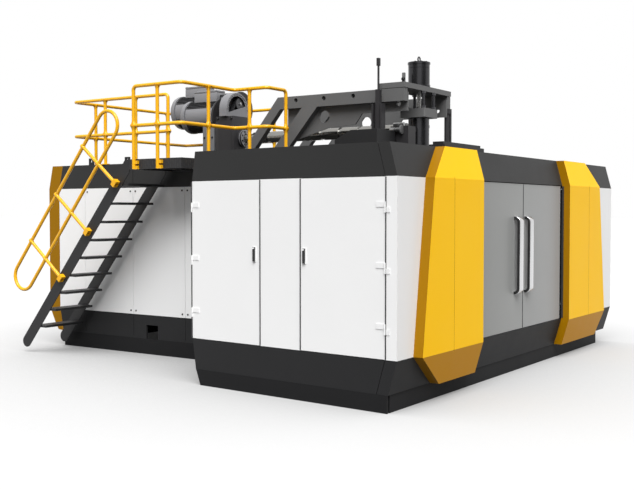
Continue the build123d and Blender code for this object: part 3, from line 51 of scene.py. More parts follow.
Point = tuple[float, float, float]
Pair = tuple[float, float]
Test = Callable[[Vector, Vector], bool]
Tree = bpy.types.NodeTree
Socket = bpy.types.NodeSocket
UP: Point = (0, 0, 1)
FRONT: Point = (0, -1, 0)
BACK: Point = (0, 1, 0)
WELD = 0.00005
GLOSS_DRIFT = 0.05


def linear(colour: str) -> tuple[float, float, float, float]:
    """Turn an sRGB hex colour into linear RGBA.

    Args:
        colour: The colour as "#rrggbb".

    Returns:
        Red, green, blue and alpha, linear.
    """
    parts = [int(colour[i:i + 2], 16) / 255 for i in (1, 3, 5)]
    red, green, blue = (c / 12.92 if c <= 0.04045 else ((c + 0.055) / 1.055) ** 2.4 for c in parts)
    return red, green, blue, 1.0


def add_node(
    tree: Tree,
    kind: str,
    settings: dict[str | int, object] | None = None,
    links: dict[str | int, Socket] | None = None,
) -> bpy.types.Node:
    """Add a shader node with its settings and links.

    Args:
        tree: The material's or world's nodes.
        kind: Blender's name of the node type.
        settings: Input values by socket name or number, or properties by name.
        links: Sockets that feed the node's inputs.

    Returns:
        The new node.
    """
    node = tree.nodes.new(kind)
    for key, value in (settings or {}).items():
        if isinstance(key, int) or key in node.inputs:
            node.inputs[key].default_value = value
        else:
            setattr(node, key, value)
    for key, socket in (links or {}).items():
        tree.links.new(socket, node.inputs[key])
    return node


def math_node(tree: Tree, operation: str, first: Socket, second: "float | Socket" = 0.0) -> Socket:
    """Add a math node that works on a socket and a number or another socket."""
    if isinstance(second, float):
        return add_node(tree, "ShaderNodeMath", {"operation": operation, 1: second}, {0: first}).outputs[0]
    return add_node(tree, "ShaderNodeMath", {"operation": operation}, {0: first, 1: second}).outputs[0]


def blend(tree: Tree, share: Socket, low: "str | Socket", high: str) -> Socket:
    """Mix two colours.

    Args:
        tree: The material's nodes.
        share: Share of the second colour.
        low: First colour, as "#rrggbb" or as a socket.
        high: Second colour, as "#rrggbb".

    Returns:
        The mixed colour.
    """
    settings = {"data_type": "RGBA", 7: linear(high)}
    if isinstance(low, str):
        return add_node(tree, "ShaderNodeMix", {**settings, 6: linear(low)}, {0: share}).outputs[2]
    return add_node(tree, "ShaderNodeMix", settings, {0: share, 6: low}).outputs[2]


class Grain(Enum):
    """Small relief that the making of a surface leaves: pattern size in metres and height."""

    PEEL = (0.035, 0.0005)
    ENAMEL = (0.05, 0.0008)
    CAST = (0.012, 0.0012)
    TURNED = (0.004, 0.0003)
    ROLLED = (0.006, 0.0003)
    POLISHED = (0.12, 0.0001)
    MOULDED = (0.006, 0.0002)
    CHEQUER = (0.04, 0.003)


@dataclass(frozen=True)
class Finish:
    """A real finish: two shades that it drifts between, gloss and relief."""

    name: str
    colour: str
    drift: str
    rough: float
    grain: Grain = Grain.PEEL
    metal: float = 0.0
    coat: float = 0.0
    patch: float = 0.9
    stretch: Point = (1.0, 1.0, 1.0)
    shine: float = 0.5

    def base(self, tree: Tree, place: Socket) -> Socket:
        """Mix the two shades in wide soft patches.

        Args:
            tree: The material's nodes.
            place: Object coordinates.

        Returns:
            The colour socket.
        """
        wide = {"Scale": 1 / self.patch, "Detail": 4.0}
        patches = add_node(tree, "ShaderNodeTexNoise", wide, {"Vector": place})
        return blend(tree, patches.outputs["Fac"], self.colour, self.drift)

    def height(self, tree: Tree, place: Socket) -> Socket:
        """Make the relief's height.

        Args:
            tree: The material's nodes.
            place: Object coordinates.

        Returns:
            The height socket, from 0 to 1.
        """
        size = self.grain.value[0]
        if self.grain is Grain.CHEQUER:
            cells = add_node(tree, "ShaderNodeTexChecker", {"Scale": 1 / size}, {"Vector": place})
            links = {0: cells.outputs["Fac"]}
            for number, direction in ((2, "X"), (3, "Y")):
                wave = {"Scale": 0.35 / size, "bands_direction": direction}
                links[number] = add_node(tree, "ShaderNodeTexWave", wave, {"Vector": place}).outputs["Fac"]
            return add_node(tree, "ShaderNodeMix", {"data_type": "FLOAT"}, links).outputs[0]
        turned = add_node(tree, "ShaderNodeMapping", {"Scale": self.stretch}, {"Vector": place})
        fine = {"Scale": 1 / size, "Detail": 3.0, "Roughness": 0.6}
        return add_node(tree, "ShaderNodeTexNoise", fine, {"Vector": turned.outputs["Vector"]}).outputs["Fac"]

    def material(self) -> bpy.types.Material:
        """Build the material once and return it each time."""
        made = bpy.data.materials.get(self.name)
        if made is not None:
            return made
        made = bpy.data.materials.new(self.name)
        made.use_nodes = True
        tree = made.node_tree
        shader = tree.nodes["Principled BSDF"]
        shader.inputs["Metallic"].default_value = self.metal
        shader.inputs["Coat Weight"].default_value = self.coat
        shader.inputs["Coat Roughness"].default_value = 0.15
        shader.inputs["Specular IOR Level"].default_value = self.shine
        place = add_node(tree, "ShaderNodeTexCoord").outputs["Object"]
        tree.links.new(self.base(tree, place), shader.inputs["Base Color"])
        height = self.height(tree, place)
        smear = add_node(tree, "ShaderNodeTexNoise", {"Scale": 3.0, "Detail": 5.0}, {"Vector": place})
        span = {"To Min": self.rough - GLOSS_DRIFT, "To Max": self.rough + GLOSS_DRIFT}
        gloss = add_node(tree, "ShaderNodeMapRange", span, {"Value": smear.outputs["Fac"]})
        tree.links.new(gloss.outputs["Result"], shader.inputs["Roughness"])
        bump = add_node(tree, "ShaderNodeBump", {"Distance": self.grain.value[1]}, {"Height": height})
        tree.links.new(bump.outputs["Normal"], shader.inputs["Normal"])
        return made


@dataclass(frozen=True)
class FoldedPaintWithPaintedShade(Finish):
    """Paint on a folded cover, with painted shade: deeper shades on the faces that look sideways and down."""

    side_painted_shade: str = "#000000"
    under_painted_shade: str = "#000000"
    side_shade_from: float = 0.5
    under_shade_from: float = -0.2

    def base(self, tree: Tree, place: Socket) -> Socket:
        """Paint shade: use the deeper shades where the sheet faces down or sideways."""
        normal = add_node(tree, "ShaderNodeTexCoord").outputs["Normal"]
        parts = add_node(tree, "ShaderNodeSeparateXYZ", {}, {0: normal}).outputs
        # Painted shade: faces that look down get the deeper shade, and faces that look sideways get the
        # deepest one.
        down = math_node(tree, "LESS_THAN", parts["Z"], self.under_shade_from)
        with_under_shade = blend(tree, down, super().base(tree, place), self.under_painted_shade)
        side_shade_mask = math_node(tree, "GREATER_THAN", math_node(tree, "ABSOLUTE", parts["X"]), self.side_shade_from)
        return blend(tree, side_shade_mask, with_under_shade, self.side_painted_shade)


@dataclass(frozen=True)
class DoorPaintWithPaintedSheen(Finish):
    """Paint on the sliding doors, with a painted sheen: the grey grows lighter towards the right."""

    reach: float = 1.2

    def base(self, tree: Tree, place: Socket) -> Socket:
        """Paint the sheen: run from the darker shade to the lighter one along X."""
        x = add_node(tree, "ShaderNodeSeparateXYZ", {}, {0: place}).outputs["X"]
        span = {"From Min": -self.reach, "From Max": self.reach}
        share = add_node(tree, "ShaderNodeMapRange", span, {"Value": x}).outputs["Result"]
        return blend(tree, share, self.colour, self.drift)


@dataclass(frozen=True)
class WallFixing(Finish):
    """Black oxide screws, and hinge halves coated with the side wall that they sit on."""

    wall: str = "#e7e7e7"
    wall_x: float = 2.6

    def base(self, tree: Tree, place: Socket) -> Socket:
        """Use the wall's shade out at the side walls."""
        x = add_node(tree, "ShaderNodeSeparateXYZ", {}, {0: place}).outputs["X"]
        out = math_node(tree, "GREATER_THAN", math_node(tree, "ABSOLUTE", x), self.wall_x)
        return blend(tree, out, super().base(tree, place), self.wall)


# Polyester powder coat on sheet steel: even, slightly glossy, with a fine orange peel.
# The peel of these coats is 2 to 4 mm wide and is drawn at 35 mm so that it shows.
WHITE = Finish("powder_coat_white", "#e8e8e8", "#eeeeee", 0.42)
# Signal yellow with painted shade: the pillars' side faces and lower folds get deeper shades of the yellow.
YELLOW = FoldedPaintWithPaintedShade(
    "powder_coat_signal_yellow", "#ffc305", "#ffc90d", 0.45, shine=0.12, side_painted_shade="#946700", under_painted_shade="#cd8f00"
)
CHARCOAL = Finish("powder_coat_charcoal", "#2d2d2d", "#323232", 0.5, shine=0.14)
ANTHRACITE = Finish("powder_coat_anthracite", "#262627", "#2b2b2c", 0.5, shine=0.1)
PLINTH = Finish("powder_coat_black", "#1d1d1e", "#232324", 0.55, shine=0.08)
# Mid grey on the sliding doors, with a painted sheen that lightens them towards +X.
DOOR_GREY = DoorPaintWithPaintedSheen("powder_coat_mid_grey", "#888987", "#9fa0a0", 0.36, shine=0.35)
# Gloss alkyd paint on steel tube: brighter than the powder coat, with soft runs.
RAIL_YELLOW = Finish(
    "gloss_paint_yellow", "#e8a808", "#f2b512", 0.33, Grain.ENAMEL, coat=0.2, patch=0.4, shine=0.35
)
# Machine enamel, sprayed on castings, weldments and the bed: dull, uneven, a little dusty.
ARM_GREY = Finish("machine_enamel_grey", "#5a5a5a", "#646464", 0.5, Grain.ENAMEL, patch=0.5, shine=0.35)
DARK_ENAMEL = Finish("machine_enamel_dark", "#262526", "#2f2e30", 0.48, Grain.ENAMEL, patch=0.3, shine=0.3)
PEDESTAL = Finish("machine_enamel_pedestal", "#6b6c6f", "#78797b", 0.5, Grain.ENAMEL, patch=0.3, shine=0.35)
MOTOR_GREY = Finish("machine_enamel_motor", "#77777a", "#848487", 0.42, Grain.CAST, coat=0.1, patch=0.25)
# Painted shade: a dark enamel for the motor ribs and the frame between them, standing in for the shade in the
# rib gaps.
RIB_PAINTED_SHADE = Finish("painted_shade_between_ribs", "#2c2c2e", "#353537", 0.5, Grain.CAST, patch=0.2, shine=0.3)
BED_GREY = Finish("machine_enamel_bed", "#5d6163", "#686c6e", 0.5, Grain.ENAMEL, patch=0.5)
# Satin paint on the sheet steel of the hood, the roof covers and the stair.
HOOD_BLACK = Finish("satin_paint_black", "#19191a", "#202021", 0.5, patch=0.4, shine=0.3)
STAIR_BLACK = Finish("satin_paint_stair", "#202021", "#29292a", 0.5, patch=0.4, shine=0.3)
# Hot rolled chequer plate in the same paint.
DECK = Finish("chequer_plate_painted", "#252526", "#303031", 0.5, Grain.CHEQUER, patch=0.3, shine=0.3)
# Nitrided and ground steel of the head: a dark grey metal with fine turning rings.
HEAD_STEEL = Finish(
    "nitrided_steel", "#3a3a3c", "#454547", 0.24, Grain.TURNED, metal=0.85, patch=0.2, stretch=(1, 1, 30),
    shine=0.3,
)
# Turned and ground steel of the barrel, the screw, the mandrel and the blow pins.
BARREL_STEEL = Finish(
    "turned_steel", "#8d8d8c", "#a3a29f", 0.24, Grain.TURNED, metal=1.0, patch=0.2, stretch=(1, 30, 1)
)
# Rolled stainless sheet round the heaters, bright from the mill.
HEATER_STEEL = Finish(
    "rolled_stainless_steel", "#8f8e8b", "#a5a39e", 0.16, Grain.ROLLED, metal=1.0, patch=0.15
)
# Iron platens, milled and ground on their faces.
MACHINED = Finish(
    "machined_iron", "#77787a", "#8a8a8a", 0.4, Grain.ROLLED, metal=0.9, patch=0.3, stretch=(30, 1, 1)
)
# Cast iron pulleys with turned rims.
IRON = Finish(
    "turned_cast_iron", "#4c4c4e", "#5f5f60", 0.45, Grain.TURNED, metal=0.8, patch=0.1, stretch=(1, 30, 1)
)
# Bright zinc plate on nuts, caps and valve bodies.
ZINC = Finish("zinc_plated_steel", "#9b9c9e", "#b4b4b2", 0.36, Grain.ROLLED, metal=1.0, patch=0.05)
# Black oxide on screws; the hinge halves share the coat of their wall.
BLACK_OXIDE = Finish("black_oxide_steel", "#161617", "#222223", 0.4, Grain.ROLLED, patch=0.05, shine=0.3)
FIXINGS = WallFixing(
    "black_oxide_and_wall_coat", "#161617", "#222223", 0.45, Grain.MOULDED, patch=0.05, shine=0.3
)
# Polished chrome plate: near mirror, no grain to see.
CHROME = Finish("chrome_plate", "#cfcfd0", "#dadadb", 0.12, Grain.POLISHED, metal=1.0, patch=0.5)
# Moulded chloroprene belts, extruded door seals and glass-filled nylon levers: matt black.
RUBBER = Finish("moulded_rubber", "#17171a", "#232326", 0.7, Grain.MOULDED, patch=0.1)
SEAL = Finish("extruded_rubber_seal", "#3c3c3d", "#474748", 0.7, Grain.MOULDED, patch=0.3, shine=0.2)
NYLON = Finish("moulded_nylon_black", "#131314", "#1c1c1d", 0.45, Grain.MOULDED, patch=0.05)
# Matt paint on the steel frame inside the cabinet.
FRAME_BLACK = Finish("matt_paint_frame", "#202021", "#2a2a2b", 0.6, patch=0.5, shine=0.2)

DRESS: dict[Finish, tuple[str, ...]] = {
    WHITE: ("front_panels", "rear_panels"),
    YELLOW: ("front_pillars", "rear_pillars"),
    CHARCOAL: ("top_band", "roof_sheets"),
    ANTHRACITE: ("base_band",),
    PLINTH: ("plinth",),
    DOOR_GREY: ("sliding_door_left", "sliding_door_right"),
    RAIL_YELLOW: ("stair_handrail", "landing_rail", "roof_rail", "rail_fittings"),
    ARM_GREY: ("extruder_arms", "arm_plates", "yoke_plate", "head_flange"),
    DARK_ENAMEL: ("drive_stands", "head_mast", "jack_column", "head_valves"),
    MOTOR_GREY: ("extruder_motors", "belt_guard"),
    BED_GREY: ("clamp_bed", "carriage_left", "carriage_right"),
    HOOD_BLACK: ("roof_hood", "roof_covers"),
    STAIR_BLACK: ("stair_stringers", "stair_treads"),
    DECK: ("landing_frame",),
    HEAD_STEEL: ("head_cylinder", "head_barrel", "head_tie_rods"),
    BARREL_STEEL: ("extruder_barrel", "extruder_screw", "head_mandrel", "blow_pin_left", "blow_pin_right"),
    HEATER_STEEL: ("heater_bands",),
    MACHINED: ("platen_left_outer", "platen_left_inner", "platen_right_outer", "platen_right_inner"),
    IRON: ("motor_pulley", "gear_pulley"),
    RUBBER: ("drive_belts",),
    CHROME: ("door_pull_left", "door_pull_right"),
    FIXINGS: ("cabinet_fixings",),
    FRAME_BLACK: ("cabinet_frame",),
}
DOOR_NAMES = ("left_front", "left_rear", "right_front", "right_rear")


def dress_cad() -> None:
    """Give every CAD node its finish."""
    rows = [(finish, node) for finish, nodes in DRESS.items() for node in nodes]
    rows += [(WHITE, f"side_door_{name}") for name in DOOR_NAMES]
    rows += [(NYLON, f"swing_handle_{name}") for name in DOOR_NAMES]
    for finish, node in rows:
        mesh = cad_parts[node].data
        mesh.materials.clear()
        mesh.materials.append(finish.material())
        LOG.info("node %s wears %s", node, finish.name)
    bare = set(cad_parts) - {node for _, node in rows}
    if bare:
        LOG.warning("nodes without a finish: %s", sorted(bare))


def added(operator: Callable[..., object], **options: object) -> bpy.types.Object:
    """Run an operator that adds an object, with nothing else selected, and return the object."""
    bpy.ops.object.select_all(action="DESELECT")
    operator(**options)
    return bpy.context.object


def extrude(step: Point) -> None:
    """Extrude what is selected along a step."""
    bpy.ops.mesh.extrude_region_move(TRANSFORM_OT_translate={"value": step})


def stance(at: Point, aim: Point = UP) -> Matrix:
    """Matrix that turns +Z to a direction and moves the origin to a point."""
    return Matrix.Translation(at) @ Vector(UP).rotation_difference(Vector(aim)).to_matrix().to_4x4()


def bolt_circle(count: int, radius: float, start: float = 0.5) -> list[Pair]:
    """Points spaced evenly round a circle; start is the first one's place, in steps."""
    angles = [2 * pi * (step + start) / count for step in range(count)]
    return [(radius * cos(angle), radius * sin(angle)) for angle in angles]


class Piece:
    """A mesh that is modelled by hand with Blender's operators."""

    def __init__(self, shape: bpy.types.Object) -> None:
        """Take over an object that an operator has just added."""
        self.shape = shape
        self.settle()

    def grab(self) -> None:
        """Make this the only selected and the active object."""
        bpy.ops.object.select_all(action="DESELECT")
        self.shape.select_set(True)
        bpy.context.view_layer.objects.active = self.shape

    def settle(self) -> None:
        """Put the object's place, turn and scale into its mesh."""
        self.grab()
        bpy.ops.object.transform_apply(location=True, rotation=True, scale=True)

    @contextmanager
    def editing(self, faces: Test | None = None) -> Iterator[None]:
        """Stay in edit mode with some faces selected, or all of them.

        Args:
            faces: Says for a face's centre and normal whether it is selected.
        """
        self.grab()
        bpy.ops.object.mode_set(mode="EDIT")
        bpy.ops.mesh.select_mode(type="FACE" if faces else "VERT")
        bpy.ops.mesh.select_all(action="DESELECT" if faces else "SELECT")
        if faces:
            mesh = bmesh.from_edit_mesh(self.shape.data)
            for face in mesh.faces:
                face.select_set(faces(face.calc_center_median(), face.normal))
            bmesh.update_edit_mesh(self.shape.data)
        yield
        bpy.ops.object.mode_set(mode="OBJECT")

    @contextmanager
    def growing(self) -> Iterator[None]:
        """Stay in edit mode with all selected, and turn all normals outwards at the end."""
        with self.editing():
            yield
            bpy.ops.mesh.select_all(action="SELECT")
            bpy.ops.mesh.normals_make_consistent(inside=False)

    @classmethod
    def block(cls, low: Point, high: Point) -> "Piece":
        """Add a block between two corners."""
        middle = [(a + b) / 2 for a, b in zip(low, high)]
        sides = [b - a for a, b in zip(low, high)]
        return cls(added(bpy.ops.mesh.primitive_cube_add, size=1, location=middle, scale=sides))

    @classmethod
    def disc(cls, sides: int, radius: float, level: float = 0.0, fill: str = "NGON") -> "Piece":
        """Add a circle at a height, filled unless fill is "NOTHING"."""
        circle = bpy.ops.mesh.primitive_circle_add
        return cls(added(circle, vertices=sides, radius=radius, fill_type=fill, location=(0, 0, level)))

    @classmethod
    def lathe(cls, rings: Sequence[Pair], sides: int = 48) -> "Piece":
        """Turn a closed solid along +Z from its rings.

        Args:
            rings: Height and radius of each ring, from the bottom up.
            sides: Number of sides around.

        Returns:
            The turned piece, with its axis on Z.
        """
        level, radius = rings[0]
        made = cls.disc(sides, radius, level)
        with made.growing():
            for height, size in rings[1:]:
                extrude((0, 0, height - level))
                ratio = size / radius
                bpy.ops.transform.resize(value=(ratio, ratio, 1), center_override=(0, 0, height))
                level, radius = height, size
        return made

    @classmethod
    def prism(cls, outline: Sequence[Pair], depth: float) -> "Piece":
        """Extrude a flat outline along +Z.

        Args:
            outline: Corners in the XY plane, anticlockwise.
            depth: Height of the prism.

        Returns:
            The prism, with its foot on Z = 0.
        """
        made = cls.disc(len(outline), 1)
        for corner, (x, y) in zip(made.shape.data.vertices, outline):
            corner.co = (x, y, 0)
        with made.growing():
            extrude((0, 0, depth))
        return made

    @classmethod
    def pipe(
        cls, points: Sequence[Point], radius: float, bends: Sequence[float] = (), sides: int = 20
    ) -> "Piece":
        """Sweep a round tube along straight runs with round bends.

        Args:
            points: The corners of the tube's axis, with both ends.
            radius: The tube's outer radius.
            bends: Radius of the bend at each inner corner.
            sides: Number of sides around.

        Returns:
            The closed tube.
        """
        path = [Vector(point) for point in points]
        runs = [(b - a).normalized() for a, b in zip(path, path[1:])]
        turns = [a.angle(b) for a, b in zip(runs, runs[1:])]
        cuts = [0.0, *(r * tan(turn / 2) for r, turn in zip(bends, turns)), 0.0]
        made = cls.disc(sides, radius, fill="NOTHING").place(path[0], runs[0])
        with made.growing():
            for i, run in enumerate(runs):
                extrude(run * ((path[i + 1] - path[i]).length - cuts[i] - cuts[i + 1]))
                if i < len(turns):
                    inward = (runs[i + 1] - run * run.dot(runs[i + 1])).normalized()
                    centre = path[i + 1] - run * cuts[i + 1] + inward * bends[i]
                    steps, axis = max(4, round(turns[i] * 6)), run.cross(runs[i + 1])
                    bpy.ops.mesh.spin(steps=steps, angle=-turns[i], center=centre, axis=axis)
            bpy.ops.mesh.select_all(action="SELECT")
            bpy.ops.mesh.remove_doubles(threshold=WELD)
            bpy.ops.mesh.fill_holes(sides=0)
        return made

    def move(self, matrix: Matrix) -> "Piece":
        """Turn and move the piece by a matrix and put that into its mesh."""
        self.shape.matrix_world = matrix
        self.settle()
        return self

    def place(self, at: Point, aim: Point = UP) -> "Piece":
        """Turn the piece's +Z to a direction and move its origin to a point."""
        return self.move(stance(at, aim))

    def bevel(self, width: float, segments: int = 2) -> "Piece":
        """Round the piece's sharp edges."""
        self.grab()
        rounding = self.shape.modifiers.new("rounding", "BEVEL")
        rounding.width, rounding.segments = width, segments
        rounding.limit_method, rounding.angle_limit = "ANGLE", radians(35)
        bpy.ops.object.modifier_apply(modifier=rounding.name)
        return self

    def inset(self, faces: Test, rim: float, depth: float) -> "Piece":
        """Inset the chosen faces and push them in or out.

        Args:
            faces: Chooses the faces by centre and normal.
            rim: Width of the rim that stays.
            depth: How far the inner face moves, outwards if positive.

        Returns:
            The piece itself.
        """
        with self.editing(faces):
            bpy.ops.mesh.inset(thickness=rim, depth=depth)
        return self

    def cut(self, cutter: "Piece") -> "Piece":
        """Cut another piece out of this one and use it up."""
        self.grab()
        saw = self.shape.modifiers.new("saw", "BOOLEAN")
        saw.operation, saw.object, saw.solver = "DIFFERENCE", cutter.shape, "EXACT"
        bpy.ops.object.modifier_apply(modifier=saw.name)
        bpy.data.objects.remove(cutter.shape)
        return self

    def coat(self, finish: Finish) -> "Piece":
        """Give the whole piece one finish."""
        self.shape.data.materials.clear()
        self.shape.data.materials.append(finish.material())
        return self

    def tint(self, finish: Finish, faces: Test) -> "Piece":
        """Give the chosen faces another finish."""
        self.shape.data.materials.append(finish.material())
        last = len(self.shape.data.materials) - 1
        for face in self.shape.data.polygons:
            if faces(face.center, face.normal):
                face.material_index = last
        return self

    def repeat(self, places: Sequence[Matrix]) -> "Piece":
        """Copy the piece to each place, each copy with its own mesh, and use up the first.

        Args:
            places: Where the piece's origin goes, and how it is turned.

        Returns:
            All the copies as one piece.
        """
        copies = []
        for spot in places:
            copy = self.shape.copy()
            copy.data = self.shape.data.copy()
            bpy.context.scene.collection.objects.link(copy)
            copy.matrix_world = spot
            copies.append(copy)
        bpy.data.objects.remove(self.shape)
        return Piece.merged(copies)

    @staticmethod
    def merged(shapes: Sequence[bpy.types.Object]) -> "Piece":
        """Join several objects into one piece."""
        bpy.ops.object.select_all(action="DESELECT")
        for shape in shapes:
            shape.select_set(True)
        bpy.context.view_layer.objects.active = shapes[0]
        bpy.ops.object.transform_apply(location=True, rotation=True, scale=True)
        bpy.ops.object.join()
        return Piece(bpy.context.object)

    def join(self, *others: "Piece") -> "Piece":
        """Join other pieces to this one."""
        return Piece.merged([self.shape, *(other.shape for other in others)])

    def deliver(
        self, name: str, body: str, slot: str, replaces: Sequence[str] = (), angle: float = 32.0
    ) -> bpy.types.Object:
        """Args:
            name: The piece's name.
            body: The CAD body that it rides on.
            slot: The record's material slot; not used.
            replaces: CAD nodes that it stands for.
            angle: Edges flatter than this are shaded smooth, in degrees.

        Returns:
            The finished object.
        """
        self.grab()
        bpy.ops.object.shade_smooth_by_angle(angle=radians(angle))
        self.shape.name = self.shape.data.name = name
        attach(self.shape, body)
        if replaces:
            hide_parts(*replaces)
        LOG.info("piece %s rides on %s, %d faces", name, body, len(self.shape.data.polygons))
        return self.shape


def bolt_heads(points: Sequence[Point], size: float, aim: Point = UP, finish: Finish = BLACK_OXIDE) -> Piece:
    """Hexagon bolt heads on washers, seated at points.

    Args:
        points: Where the heads sit.
        size: Thread diameter.
        aim: Where the heads face.
        finish: Their finish.

    Returns:
        All the heads as one piece.
    """
    washer = Piece.lathe([(-0.001, size * 1.1), (size * 0.15, size * 1.1)], 20)
    head = Piece.lathe([(size * 0.15, size * 0.95), (size * 0.7, size * 0.95), (size * 0.8, size * 0.8)], 6)
    return washer.join(head).coat(finish).repeat([stance(point, aim) for point in points])


@dataclass
class SideWall:
    """The slanted side walls of the front cabinet."""

    left_x: float = -2.939
    right_x: float = 3.210
    front_y: float = -1.360
    slant: float = radians(4.26)

    def point(self, side: int, y: float, out: float, z: float) -> Point:
        """Point at a depth and height, moved outwards from a wall; side is -1 left and 1 right."""
        corner = self.left_x if side < 0 else self.right_x
        x = corner - side * (y - self.front_y) * tan(self.slant)
        return x + side * out * cos(self.slant), y + out * sin(self.slant), z

    def outwards(self, side: int) -> Point:
        """Direction that a wall faces."""
        return side * cos(self.slant), sin(self.slant), 0.0


WALL = SideWall()


@dataclass
class Motor:
    """A squirrel-cage motor: flange, frame with ribs, fan cowl and terminal box."""

    x: float
    z: float
    front: float
    back: float
    diameter: float
    flange: float = 0.022
    rim: float = 0.006
    cowl: float = 0.09
    box_width: float = 0.19
    box_height: float = 0.13
    box_inset: float = 0.052
    box_length: float = 0.404
    rib_height: float = 0.012
    collar: float = 0.03
    groove: float = 0.012
    rib_half: float = 0.0025
    rib_count: int = 17
    rib_first: float = 30.0
    rib_pitch: float = 7.5
    grille_rings: int = 6
    grille_step: float = 0.012
    grille_bar: float = 0.006
    box_screw: float = 0.018
    bolt_inset: float = 0.014

    def ribbed(self) -> Pair:
        """Depths between which the frame has ribs."""
        return self.front + self.flange + self.collar, self.back - self.cowl - self.groove

    def frame(self) -> Piece:
        """Turn the flange, the frame and the cowl in one, with a grille in the cowl's end, and paint shade on
        the frame between the ribs.
        """
        length, radius, outer = self.back - self.front, self.diameter / 2, self.diameter / 2 + self.rim
        start, neck, body = length - self.cowl, self.flange + self.collar, radius - self.rib_height
        rings = [
            (0.0, radius * 0.45), (0.0, outer), (self.flange, outer), (self.flange, body - 0.01),
            (neck, body - 0.01), (neck, body), (start - self.groove, body),
            (start - self.groove, body - 0.008), (start, body - 0.008), (start, outer), (start + 0.05, outer),
            (start + 0.068, outer - 0.006), (start + 0.081, outer - 0.018), (length - 0.001, outer - 0.036),
            (length, outer - 0.05),
        ]
        size = outer - 0.05
        for _ in range(self.grille_rings):
            size -= self.grille_step
            rings += [(length - 0.008, size), (length - 0.008, size - self.grille_step)]
            size -= self.grille_step
            rings += [(length, size), (length, size - self.grille_bar)]
            size -= self.grille_bar
        made = Piece.lathe(rings, 72).coat(MOTOR_GREY)
        made.tint(DARK_ENAMEL, lambda centre, normal: centre.z < neck - 0.001)
        made.place((self.x, self.front, self.z), BACK)
        low, high = self.ribbed()
        # Painted shade: the frame's top and underside between the ribs get the dark rib paint.
        return made.tint(RIB_PAINTED_SHADE, lambda centre, normal: low < centre.y < high and abs(normal.z) > 0.5)

    def ribs(self) -> Piece:
        """Longitudinal ribs on the top and the underside, painted dark as painted shade."""
        radius, low = self.diameter / 2, self.diameter / 2 - self.rib_height - 0.004
        start, end = self.ribbed()
        rib = Piece.block((-self.rib_half, start, low), (self.rib_half, end, radius)).coat(RIB_PAINTED_SHADE)
        centre = Matrix.Translation((self.x, 0, self.z))
        starts = (self.rib_first - 90, self.rib_first + 90)
        turns = [start + step * self.rib_pitch for start in starts for step in range(self.rib_count)]
        return rib.repeat([centre @ Matrix.Rotation(radians(turn), 4, "Y") for turn in turns])

    def terminal_box(self) -> Piece:
        """A terminal box with a lid, screws and two cable glands."""
        low_y, half, inset = self.front + self.box_inset, self.box_width / 2, self.box_screw
        high_y, top = low_y + self.box_length, self.z + self.diameter / 2 + self.box_height
        seam = top - 0.03
        left, right = self.x - half, self.x + half
        levels = ((0, self.z + 0.15, seam - 0.003), (-0.004, seam - 0.01, seam + 0.01), (0.002, seam, top))
        body, neck, lid = (
            Piece.block((left - grow, low_y - grow, low), (right + grow, high_y + grow, high))
            for grow, low, high in levels
        )
        box = body.bevel(0.006).join(neck, lid.bevel(0.008, 3)).coat(MOTOR_GREY)
        corners = [
            (self.x + side * (half - inset), y, top - 0.001)
            for side in (-1, 1)
            for y in (low_y + inset, high_y - inset)
        ]
        screws = bolt_heads(corners, 0.008)
        profile = [(-0.01, 0.016), (0.012, 0.016), (0.012, 0.013), (0.028, 0.013), (0.032, 0.009)]
        places = [stance((self.x + side * 0.045, high_y, top - 0.085), BACK) for side in (-1, 1)]
        return box.join(screws, Piece.lathe(profile, 20).coat(NYLON).repeat(places))

    def bolts(self) -> Piece:
        """Bolts around the flange."""
        ring = bolt_circle(8, self.diameter / 2 - self.bolt_inset)
        points = [(self.x + across, self.front + self.flange, self.z + up) for across, up in ring]
        return bolt_heads(points, 0.014, BACK)

    def build(self) -> Piece:
        """Join the motor's pieces."""
        return self.frame().join(self.ribs(), self.terminal_box(), self.bolts())


